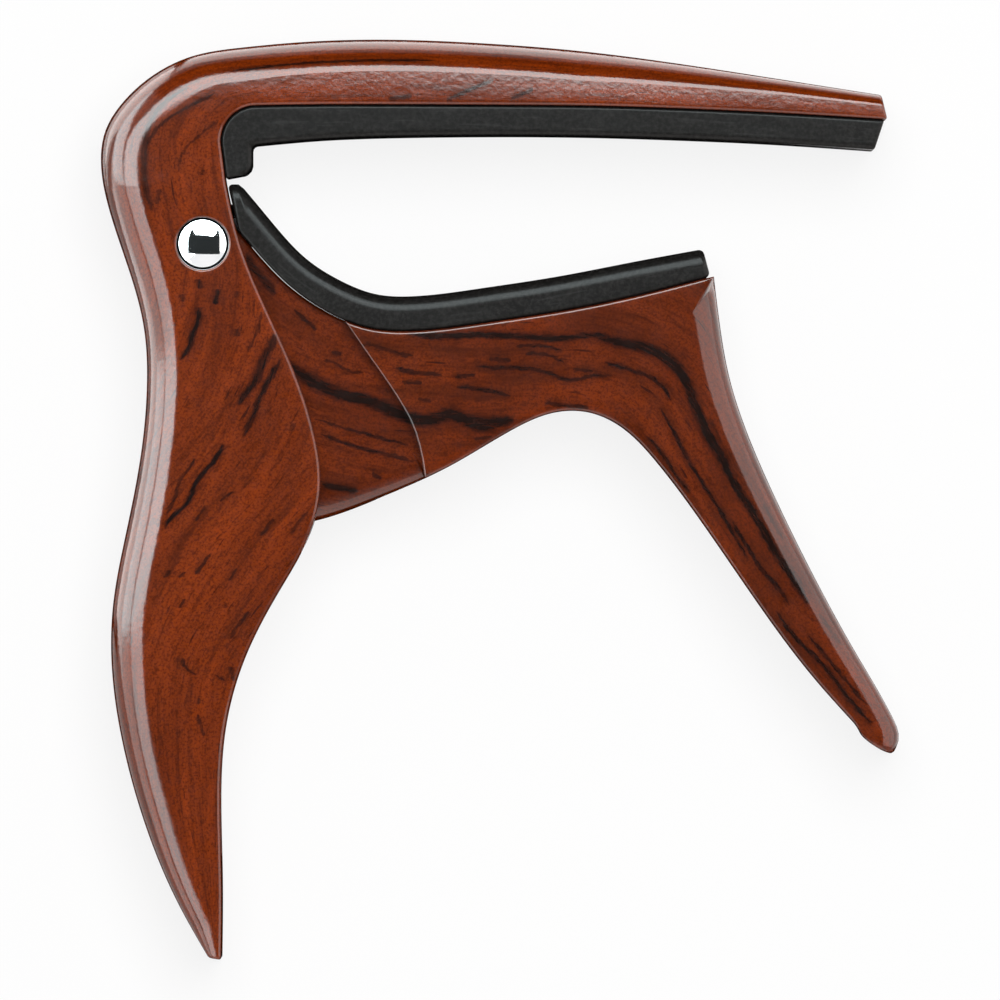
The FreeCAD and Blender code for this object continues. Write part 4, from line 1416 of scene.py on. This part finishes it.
@dataclass
class TriggerLever:
    """Casting with the tongue, the lower jaw and the trigger handle."""

    ear_end_angle: float = 172.0
    ear_foot_angle: float = 255.0
    seat_round: float = 0.3
    crown_top: float = 2.7          # round of the trigger's front edge at its top
    crown_tip: float = 1.6          # and at its tip
    inner_round: float = 0.26
    web: float = 2.2
    trigger_web: float = 2.0
    bulkhead: float = 3.0
    wall: float = 2.0
    end_round: float = 0.3
    step_round: float = 0.22
    tongue_round: float = 1.6       # inner round of the tongue
    tongue_foot_round: float = 0.8  # the same where it meets the jaw
    bay_radius: float = 5.35
    step_reach: float = 6.0         # how far from the step its bend is felt
    step_bend: tuple[Point, ...] = (
        (0, 0), (0.24, -0.54), (0.45, -1.07), (0.65, -1.34), (0.82, -0.98), (1, 0),
    )
    tip_reach: float = 4.0
    tip_bend: tuple[Point, ...] = ((0, 0), (0.37, -0.43), (0.81, -0.43), (1, 0))
    light: ScreenColour = (126, 45, 3)
    middle: ScreenColour = (92, 32, 3)
    print_guide: tuple[Point, ...] = (
        (-34.0, 25.0), (-26.0, 20.0), (-20.0, 16.0), (-13.0, 13.4), (-5.0, 12.7), (4.0, 12.9), (10.5, 12.4),
        (14.8, 10.2), (17.9, 6.0), (21.6, -0.4), (25.9, -7.4), (31.2, -14.8), (37.0, -22.0), (41.0, -27.0),
    )
    trigger_front: tuple[Point, ...] = (
        (21.45, 22.35), (22.0, 17.95), (23.0, 12.3), (24.8, 6.7), (27.7, 0.0), (31.5, -7.7),
        (35.6, -15.2), (39.3, -21.7), (39.95, -23.9), (39.35, -25.4),
    )
    tongue_back: tuple[Point, ...] = ((-29.4, 16.6), (-27.2, 10.2), (-24.0, 3.0))
    underside: tuple[Point, ...] = (
        (-20.8, -2.6), (-17.9, -1.95), (-11.4, 0.45), (-5.0, 3.4), (1.2, 7.0), (5.4, 8.75), (8.9, 8.8),
        (12.1, 7.4), (15.6, 4.0), (20.1, -1.95), (25.6, -9.9), (31.5, -17.8), (36.15, -23.0),
    )
    ear_rung: Point = (166.0, 178.0)    # angles about the pin of the first rung's two ends
    rungs: tuple[tuple[Point, Point], ...] = (      # those below the ears
        ((-26.6, 27.4), (-29.2, 16.0)), ((-24.5, 24.95), (-26.5, 8.5)), ((-21.4, 21.7), (-20.8, -2.6)),
        ((-15.45, 18.0), (-7.65, 2.4)), ((-10.0, 16.95), (-2.5, 4.85)), ((-1.5, 17.7), (4.6, 8.5)),
        ((10.0, 19.6), (7.2, 8.95)), ((21.45, 22.35), (10.6, 8.2)), ((21.6, 21.0), (10.9, 8.0)),
        ((23.0, 12.3), (15.6, 4.0)), ((27.7, 0.0), (22.0, -4.7)), ((35.6, -15.2), (31.5, -17.8)),
        ((37.6, -18.7), (34.0, -20.8)), ((39.35, -25.4), (36.15, -23.0)),
    )
    foot_rung: int = 4              # lower end of the tongue's back
    step_rung: int = 5              # between tongue and jaw
    corner_rung: int = 9            # where the jaw turns down into the trigger
    crown_rung: int = 10            # where the round of the trigger's front starts
    channel_rung: int = 14          # where the trigger's channel ends

    def lay_out(self) -> tuple[Loft, float]:
        """Lay the rungs between the lever's two outlines, with their bends and the line of the print.

        Returns:
            The loft, and its station at the step between tongue and jaw.
        """
        ear_foot = on_pivot(EAR_RADIUS, self.ear_foot_angle)
        over = round_pivot(EAR_RADIUS, self.ear_end_angle, EAR_SEAT_ANGLE)
        under = round_pivot(EAR_RADIUS, self.ear_end_angle, self.ear_foot_angle)
        seat = smooth([EAR_SEAT] + PAD_SEAT)
        outer = over + seat + straight(PAD_SEAT[-1], self.trigger_front[0]) + smooth(self.trigger_front)
        inner = under + smooth((ear_foot, *self.tongue_back, self.underside[0])) + smooth(self.underside)
        first_rung = tuple(on_pivot(EAR_RADIUS, angle) for angle in self.ear_rung)
        loft = Loft(outer, inner, (first_rung, (EAR_SEAT, ear_foot), *self.rungs), end_round=self.end_round)
        step = loft.station_at(self.step_rung)
        bends = (
            (step, self.step_reach, smooth(self.step_bend).points),
            (loft.station_at(-1), self.tip_reach, smooth(self.tip_bend).points),
        )
        close = (step, step + self.bulkhead, loft.station_at(self.channel_rung))
        return replace(loft, close_stations=close, bends=bends, guide=smooth(self.print_guide)), step

    def section(self, loft: Loft, step: float) -> Section:
        """Size the section: a narrow tongue with its bay, then the full width with the channel below.

        Args:
            loft: the lever's loft.
            step: its station at the step between tongue and jaw.

        Returns:
            The section at each station.
        """
        stations = loft.stations
        corner, crown_start = loft.station_at(self.corner_rung), loft.station_at(self.crown_rung)
        tongue = stations < step
        near_step = np.clip(1 - (step - stations) / (step - loft.station_at(self.foot_rung)), 0, 1)
        edge = np.clip(1 - (stations - step) / self.step_round, 0, 1)
        jaw = BODY_WIDTH / 2 - self.step_round * (1 - np.sqrt(1 - edge**2))
        behind_step = (stations > step) & (stations < step + self.bulkhead)
        solid = behind_step | (stations > loft.station_at(self.channel_rung))
        down = np.clip((stations - crown_start) / (stations[-1] - crown_start), 0, 1)
        crown = self.crown_top + (self.crown_tip - self.crown_top) * down
        tongue_round = self.tongue_round + (self.tongue_foot_round - self.tongue_round) * near_step
        return Section(
            half_width=np.where(tongue, TONGUE_WIDTH / 2, jaw),
            outer_round=np.where(stations < (corner + crown_start) / 2, self.seat_round, crown),
            inner_round=np.where(tongue, tongue_round, self.inner_round),
            floor=np.where(solid, np.nan, np.where(stations < corner, self.web, self.trigger_web)),
            channel=np.where(tongue, BAY_WIDTH / 2, BODY_WIDTH / 2 - self.wall),
        )

    def build(self) -> bpy.types.Object:
        """Loft the lever round its corner, step its sides in at the tongue and hollow it.

        Returns:
            The casting, in its film.
        """
        loft, step = self.lay_out()
        piece = loft.surface(self.section(loft, step)).make("trigger_lever_finish")
        film = WoodFilm(LEVER_VEINS, light=self.light, middle=self.middle)
        piece.data.materials.append(film.make("rosewood_film_lever", loft))
        bay = rod(self.bay_radius, MIDDLE_Z - BAY_WIDTH / 2, MIDDLE_Z + BAY_WIDTH / 2)
        return carve(piece, [bay, through_rod(PIN_RADIUS + LEVER_CLEARANCE)])

    def dress(self) -> None:
        """Build the casting and settle it on the lever."""
        settle(self.build(), Body.LEVER, "trigger_lever")


# ------------------------------------------------------------------------------------------------- pads

def pad_section(loft: Loft, outer_round: float, inner_round: float) -> Section:
    """Section of a pad, the same all along it.

    Args:
        loft: the pad's loft.
        outer_round: round of the edges at its outer rail.
        inner_round: round of those at its inner rail.

    Returns:
        The section at each station.
    """
    half_width, outer, inner = (
        np.full_like(loft.stations, size) for size in (BODY_WIDTH / 2 - PAD_INSET, outer_round, inner_round)
    )
    return Section(half_width, outer, inner)


@dataclass
class StringPad:
    """Rubber pad under the upper bar, with the block that turns down at the cheeks."""

    block_bottom: Point = (-27.43, 32.15)
    block_front_bottom: Point = (-24.73, 32.45)
    block_round: float = 1.1
    corner_round: float = 0.5
    seat_tip: Point = (38.5, 38.05)
    end_round: float = 0.25
    seat_round: float = 0.3         # along the edges at the bar
    face_round: float = 0.5         # and at the strings
    face_stations: list[Point] = field(default_factory=lambda: [
        (-24.23, 35.5), (-18.0, 36.05), (-10.0, 36.35), (0.0, 36.45), (10.0, 36.35), (18.0, 36.1),
        (26.0, 35.75), (37.5, 35.0),
    ])
    rungs: list[tuple[Point, Point]] = field(default_factory=lambda: [
        ((38.5, 38.0), (37.5, 35.0)), ((30.0, 38.55), (29.8, 35.5)), ((0.0, 39.45), (0.0, 36.45)),
        ((-21.0, 39.4), (-20.6, 35.85)), ((-25.2, 39.2), (-24.3, 35.5)), ((-27.2, 37.9), (-24.55, 34.9)),
        ((-27.85, 35.8), (-24.7, 34.0)), ((-27.6, 33.5), (-24.75, 33.4)), ((-27.43, 32.15), (-25.8, 32.35)),
    ])

    def build(self) -> bpy.types.Object:
        """Loft the pad along the bar's underside and down along the cheeks.

        Returns:
            The pad.
        """
        corner = arc(*BAR_CORNER).turned_round()
        hidden = smooth(BAR_UNDERSIDE[:-1] + [self.seat_tip]).turned_round() + corner
        hidden = (hidden + straight(BAR_CORNER[0], self.block_bottom)).beside(PAD_GAP)
        face = smooth(self.face_stations).turned_round()
        top = (self.block_front_bottom[0], self.face_stations[0][1])
        turned_down = round_corner(top, (self.corner_round, 0.0), (0.0, -self.corner_round))
        rounded = round_corner(self.block_front_bottom, (0.0, self.block_round), (-self.block_round, 0.0))
        pressing = face + turned_down + straight(turned_down.points[-1], rounded.points[0]) + rounded
        loft = Loft(hidden, pressing, self.rungs, end_round=self.end_round)
        return loft.surface(pad_section(loft, self.seat_round, self.face_round)).make("string_pad_rubber")

    def dress(self, rubber: bpy.types.Material) -> None:
        """Build the pad and settle it on the arm.

        Args:
            rubber: its material.
        """
        piece = self.build()
        piece.data.materials.append(rubber)
        settle(piece, Body.ARM, "string_pad")


@dataclass
class NeckPad:
    """Curved rubber pad on the lower jaw, with rounded upper edges."""

    thickness: float = 3.5
    thinning: tuple[float, ...] = (0.3, 0.3, 0.35, 0.3, 0.1, 0.0, 0.0, 0.0, 0.0, 0.1, 0.6)
    end_round: float = 0.5
    top_y: float = 31.6             # the pad's upper end lies level at this height
    left_x: float = -27.2           # and starts here
    third_top: Point = (-24.2, 29.4)
    seat_starts: tuple[Point, ...] = ((-26.15, 26.85), (-25.5, 26.0), (-25.1, 25.6))
    slack: float = 0.4              # how far left of the seat's start the pressing face may begin
    end_rung: tuple[Point, Point] = ((21.2, 25.4), (21.2, 22.35))
    top_round: float = 1.5          # along the edges at the neck
    seat_round: float = 0.3

    def build(self) -> bpy.types.Object:
        """Loft the pad between its seat and its pressing face.

        Returns:
            The pad.
        """
        seat = smooth([EAR_SEAT] + PAD_SEAT)
        places = np.array([seat.nearest(point) for point in [EAR_SEAT] + PAD_SEAT])
        along = seat.tangent(places)
        rise = self.thickness - np.array(self.thinning)
        top = seat.at(places) + np.stack([-along[:, 1], along[:, 0]], axis=-1) * rise[:, None]
        high = smooth([tuple(point) for point in top])
        low = seat.beside(PAD_GAP)
        below_top = (high.points[:, 1] < self.top_y) & (high.points[:, 0] > PAD_SEAT[0][0] - self.slack)
        start = int(np.argmax(below_top))
        first = tuple(high.points[start])
        corner = (self.left_x, self.top_y)
        pressing = straight(corner, first) + Path(high.points[start:])
        rungs = list(zip((corner, first, self.third_top), self.seat_starts))
        rungs += [(tuple(upper), lower) for upper, lower in zip(top[2:-1], PAD_SEAT[1:-1])]
        rungs += [self.end_rung]
        loft = Loft(pressing, low, rungs, end_round=self.end_round)
        return loft.surface(pad_section(loft, self.top_round, self.seat_round)).make("neck_pad_rubber")

    def dress(self, rubber: bpy.types.Material) -> None:
        """Build the pad and settle it on the lever.

        Args:
            rubber: its material.
        """
        piece = self.build()
        piece.data.materials.append(rubber)
        settle(piece, Body.LEVER, "neck_pad")


# ------------------------------------------------------------------------------------------------ hinge

@dataclass
class PinHead:
    """Domed chrome head of the hinge, with the stem behind it."""

    radius: float = 2.4
    rim: float = 0.45
    dome: float = 0.3
    edge_round: float = 0.06
    seat_depth: float = 0.98        # of the heads' undersides, in from the castings' sides
    cap_stem: float = 0.8
    stem_end: float = 1.0           # height at which both stems end

    def outline(self, seat: float, outward: int, stem: float, stem_end: float) -> np.ndarray:
        """Profile of the head and its stem.

        Args:
            seat: height of the head's underside.
            outward: 1 when the head faces up, -1 when it faces down.
            stem: radius of the stem.
            stem_end: height at which the stem ends.

        Returns:
            Rows of radius and height, from the top of the dome to the end of the stem.
        """
        ball = (self.radius**2 + self.dome**2) / (2 * self.dome)
        reach = np.linspace(0, self.radius - self.edge_round, 15)
        domed = self.rim + self.dome - (ball - np.sqrt(ball**2 - reach**2))
        turn = np.linspace(0, math.pi / 2, 5)[1:]
        edge = np.stack([
            self.radius - self.edge_round * (1 - np.sin(turn)),
            domed[-1] - self.edge_round * (1 - np.cos(turn)),
        ], axis=-1)
        head = np.concatenate([np.stack([reach, domed], axis=-1), edge, [[self.radius, 0.0], [stem, 0.0]]])
        head[:, 1] = seat + outward * head[:, 1]
        return np.concatenate([head, [[stem, stem_end], [0.0, stem_end]]])

    def dress(self) -> None:
        """Turn the pin with its front head and the cap that is pressed in at the rear, both in chrome."""
        chrome = CHROME.make("mirror_chrome")
        for node, seat, outward, stem in (
            ("pivot_pin", BODY_WIDTH - self.seat_depth, 1, PIN_RADIUS),
            ("pivot_cap", self.seat_depth, -1, self.cap_stem),
        ):
            piece = turned(self.outline(seat, outward, stem, self.stem_end)).make(node + "_chrome")
            piece.data.materials.append(chrome)
            settle(piece, Body.ARM, node)


# ----------------------------------------------------------------------------------------------- studio

WARM: Triple = (1.0, 0.985, 0.97)       # tint of most panels
COOL: Triple = (0.84, 0.96, 0.98)       # tint of the panels that the flatter slopes mirror

# Outlines beside which the panels on the table lie, each with the capo on its left
BAR_TOP: tuple[Point, ...] = (
    (42.0, 39.9), (28.1, 42.1), (8.1, 44.95), (-11.9, 46.1), (-25.9, 45.3), (-32.0, 44.0),
)
SHOULDER_BACK: tuple[Point, ...] = ((-32.0, 44.0), (-37.7, 39.85), (-39.9, 34.5), (-39.5, 30.5))
WAIST_BACK: tuple[Point, ...] = ((-39.5, 30.5), (-37.2, 23.3), (-35.6, 17.2), (-35.3, 13.0))
HANDLE_BACK: tuple[Point, ...] = ((-35.3, 13.0), (-35.9, 4.6), (-37.5, -3.8), (-38.7, -12.0))
TONGUE_FOOT: tuple[Point, ...] = ((-24.0, -3.6), (-20.8, -2.6), (-17.9, -1.95), (-11.4, 0.45), (-7.4, 2.5))
HANDLE_FOOT: tuple[Point, ...] = ((-38.7, -12.0), (-37.8, -24.0), (-35.5, -32.4), (-29.1, -47.0))
TRIGGER_FRONT: tuple[Point, ...] = ((41.5, -29.0), (35.6, -15.2), (27.7, 0.0), (23.0, 12.3), (21.2, 24.0))


@dataclass(frozen=True)
class Card:
    """Panel that only reflections see: a sector of a dome round the capo, or of the table.

    The angles are in degrees. A start and an end from the zenith are given at each azimuth.
    """

    name: str
    azimuths: tuple[float, ...]
    starts: tuple[float, ...]
    ends: tuple[float, ...]
    strength: float
    radius: float = 0.6
    tint: Triple = WARM

    def build(self) -> bpy.types.Object:
        """A point of the card is the dome's radius times the direction of its azimuth and zenith angle.

        Returns:
            The card.
        """
        turn = np.linspace(self.azimuths[0], self.azimuths[-1], 33)
        start = np.interp(turn, self.azimuths, self.starts)
        end = np.interp(turn, self.azimuths, self.ends)
        share = np.linspace(0, 1, 9)[:, None]
        fall = np.radians(start + (end - start) * share)
        spin = np.radians(turn)[None, :]
        grid = self.radius * np.stack([
            np.sin(fall) * np.cos(spin), np.sin(fall) * np.sin(spin), np.cos(fall) + 0 * spin,
        ], axis=-1)
        return glossy_panel(self.name, grid, self.strength, self.tint)


@dataclass(frozen=True)
class TableGlow:
    """Panel on the table along an outline of the capo, seen only by reflections."""

    name: str
    outline: tuple[Point, ...]
    gap: float
    width: float
    strength: float
    lift: float = 0.2               # above the table
    stride: int = 8                 # one point in so many of the outline is used

    def build(self) -> bpy.types.Object:
        """A point of the panel is the outline moved to its right by the gap, then outwards from the middle.

        Returns:
            The panel.
        """
        near = smooth(self.outline).beside(-self.gap).points[::self.stride]
        out = near / np.linalg.norm(near, axis=1, keepdims=True)
        grid = near[None] + out[None] * np.linspace(0, self.width, 9)[:, None, None]
        lifted = np.full((*grid.shape[:2], 1), self.lift)
        return glossy_panel(self.name, np.concatenate([grid, lifted], axis=-1) * MM, self.strength)


def glossy_panel(name: str, grid: np.ndarray, strength: float, tint: Triple = WARM) -> bpy.types.Object:
    """Make a grid of points into a panel that shines only in reflections.

    Args:
        name: name of the panel.
        grid: rows of points, in metres.
        strength: its brightness, where 1 is white.
        tint: its colour.

    Returns:
        The panel, marked as part of the stage.
    """
    rows, columns = grid.shape[:2]
    row, column = np.meshgrid(np.arange(rows - 1), np.arange(columns - 1), indexing="ij")
    corner = (row * columns + column).ravel()
    faces = np.stack([corner, corner + 1, corner + columns + 1, corner + columns], axis=-1)
    mesh = bpy.data.meshes.new(name)
    mesh.from_pydata(grid.reshape(-1, 3).tolist(), [], faces.tolist())
    return stage_glow(name, mesh, strength, tint)


def stage_glow(name: str, mesh: bpy.types.Mesh, strength: float, tint: Triple) -> bpy.types.Object:
    """Put a panel's mesh on the stage, seen by nothing but reflections.

    Args:
        name: name of the panel.
        mesh: its mesh.
        strength: its brightness, where 1 is white.
        tint: its colour.

    Returns:
        The panel.
    """
    material = bpy.data.materials.new(name)
    material.use_nodes = True
    graph = Graph(material.node_tree)
    material.node_tree.nodes.clear()
    scattered = graph.signal("LightPath", {}, {}, "Diffuse Depth").math("MINIMUM", 1.0)
    glow = graph.signal("Emission", {}, {0: (*tint, 1.0), 1: strength * (1 - scattered)})
    graph.add("OutputMaterial", {}, {0: glow})
    mesh.materials.append(material)
    panel = add_object(name, mesh)
    panel.visible_camera = panel.visible_diffuse = panel.visible_shadow = False
    panel.visible_transmission = panel.visible_volume_scatter = False
    return panel


@dataclass
class Studio:
    """White table, soft overhead light, and the panels that the lacquer and the chrome mirror.

    Sizes are in metres, except the outlines and the sizes of the panels on the table.
    """

    table_size: float = 4.0
    table_tint: tuple[float, float, float, float] = (0.985, 0.985, 0.985, 1.0)   # of its darker grain
    lamp_place: Triple = (0.08, 0.27, 1.1)
    lamp_size: float = 0.8
    lamp_power: float = 11.8
    ambient: float = 0.16
    shown_white: float = 0.85       # how far the table's shadows are lifted towards white
    flag_radius: float = 75.0       # of the dark disc under the capo, in millimetres
    flag_lift: float = 0.1
    camera_distance: float = 3.0
    camera_shift: float = 0.00005
    camera_far: float = 20.0
    view_width: float = 0.1
    cards: tuple[Card, ...] = (
        Card("strip", (40, 70, 100, 150, 180), (15, 12, 12, 14, 15), (46, 50, 52, 54, 57), 17.0, 0.55, COOL),
        Card("strip_foot", (180, 215), (15, 15), (57, 54), 9.5, 0.55, COOL),
        Card("dark_top", (40, 130), (52, 52), (95, 95), 0.0, 0.56),
        Card("wall_left", (130, 150, 180), (88, 63, 58.5), (91, 91, 91), 15.0, 0.6, COOL),
        Card("wall_foot", (180, 215), (58.5, 64), (91, 91), 5.0),
        Card("right", (-18, 40), (15, 15), (91, 91), 4.0),
        Card("front", (-150, -60), (25, 25), (91, 91), 2.8),
    )
    glows: tuple[TableGlow, ...] = (
        TableGlow("glow_bar", BAR_TOP, 9.0, 48.0, 4.2),
        TableGlow("glow_shoulder_near", SHOULDER_BACK, 9.0, 8.0, 2.2),
        TableGlow("glow_shoulder", SHOULDER_BACK, 17.0, 520.0, 7.5),
        TableGlow("glow_waist", WAIST_BACK, 9.0, 520.0, 1.0),
        TableGlow("glow_handle_near", HANDLE_BACK, 9.0, 12.0, 0.8),
        TableGlow("glow_handle", HANDLE_BACK, 21.0, 520.0, 7.5),
        TableGlow("glow_handle_foot", HANDLE_FOOT, 9.0, 520.0, 1.2),
        TableGlow("glow_trigger", TRIGGER_FRONT, 7.0, 300.0, 2.2),
        TableGlow("glow_tongue", TONGUE_FOOT, 3.0, 9.0, 3.0),
    )
    mirrored_block: tuple[Point, ...] = (
        (-0.62, -0.40), (0.69, -0.43), (0.69, 0.30), (0.66, 0.77), (0.52, 0.42), (0.40, 0.31), (0.1, 0.36),
        (-0.3, 0.38), (-0.36, 0.46), (-0.46, 0.77), (-0.53, 0.5), (-0.62, 0.2),
    )
    block_reach: float = 28.6       # angle from the zenith that the rim of a pin head mirrors, in degrees
    block_height: float = 0.5
    block_glow: float = 0.03

    def table(self) -> None:
        """Lay the table: white, with a faint grain, and keeping the shadow of the capo."""
        half = self.table_size / 2
        mesh = bpy.data.meshes.new("table")
        corners = [(-half, -half, 0), (half, -half, 0), (half, half, 0), (-half, half, 0)]
        mesh.from_pydata(corners, [], [(0, 1, 2, 3)])
        material, graph, shader = open_material("table", ior=1.0)
        grain = graph.noise(graph.object_place(), 60.0, 3.0)
        colour = graph.mix(grain, WHITE, self.table_tint)
        connect(graph, shader, colour=colour, roughness=0.9 + grain * 0.1)
        seen = graph.seen()
        white = graph.signal("Emission", {}, {0: WHITE, 1: 1.0})
        lit = Signal(graph, shader.outputs[0])
        shown = graph.signal("MixShader", {}, {0: seen * self.shown_white, 1: lit, 2: white})
        graph.tree.links.new(shown.socket, material.node_tree.nodes["Material Output"].inputs[0])
        mesh.materials.append(material)
        add_object("table", mesh)

    def light(self) -> None:
        """Hang the soft lamp and the panels."""
        lamp = bpy.data.lights.new("overhead", "AREA")
        lamp.shape, lamp.size, lamp.energy = "DISK", self.lamp_size, self.lamp_power
        holder = add_object("overhead", lamp)
        holder.location = self.lamp_place
        holder.rotation_euler = Vector(self.lamp_place).to_track_quat("Z", "Y").to_euler()
        holder.visible_glossy = False
        for panel in self.cards + self.glows:
            panel.build()
        spin = np.linspace(0, math.tau, 65)[None, :]
        out = self.flag_radius * np.linspace(0, 1, 5)[:, None]
        flag = np.stack([out * np.cos(spin), out * np.sin(spin), self.flag_lift + 0 * out * spin], axis=-1)
        glossy_panel("dark_flag", flag * MM, 0.0)
        angles = np.radians(self.block_reach * np.array(self.mirrored_block))
        corners = np.tan(angles) * self.block_height + np.array([PIVOT]) * MM
        mesh = bpy.data.meshes.new("mirrored_block")
        outline = [(x, y, self.block_height) for x, y in corners.tolist()]
        mesh.from_pydata(outline, [], [tuple(range(len(corners)))])
        stage_glow("mirrored_block", mesh, self.block_glow, COOL)

    def surroundings(self) -> None:
        """Make all round white to the eye, and dim as a source of light."""
        world = bpy.data.worlds.new("surroundings")
        world.use_nodes = True
        world.node_tree.nodes.clear()
        graph = Graph(world.node_tree)
        strength = self.ambient + graph.seen() * (1 - self.ambient)
        light = graph.signal("Background", {}, {0: WHITE, 1: strength})
        graph.add("OutputWorld", {}, {0: light})
        bpy.context.scene.world = world

    def camera(self) -> None:
        """Look straight down, from so far that the view is nearly without perspective."""
        camera = bpy.data.cameras.new("camera")
        camera.lens = camera.sensor_width * self.camera_distance / self.view_width
        camera.clip_end = self.camera_far
        holder = add_object("camera", camera)
        holder.location = (self.camera_shift, 0.0, BODY_WIDTH * MM + self.camera_distance)
        bpy.context.scene.camera = holder
        bpy.context.scene.view_settings.view_transform = "Standard"


def finish_solids() -> None:
    """Give the solids that stay, deep in the hinge, their own materials."""
    steel = SPRING_STEEL.make("drawn_spring_wire")
    nylon = Nylon().make("natural_nylon")
    for node, material in (
        ("torsion_spring", steel), ("spring_sleeve", nylon), ("thrust_washer_rear", nylon),
        ("thrust_washer_front", nylon),
    ):
        for slot in bpy.data.objects[node].material_slots:
            slot.material = material


def main() -> None:
    """Build and finish the capo piece by piece, then set up the table, the lights and the camera."""
    MainArm().dress()
    TriggerLever().dress()
    rubber = Rubber().make("black_silicone")
    StringPad().dress(rubber)
    NeckPad().dress(rubber)
    PinHead().dress()
    finish_solids()
    studio = Studio()
    studio.table()
    studio.light()
    studio.surroundings()
    studio.camera()


if __name__ == "__main__":
    logging.basicConfig(level=logging.INFO)
    main()
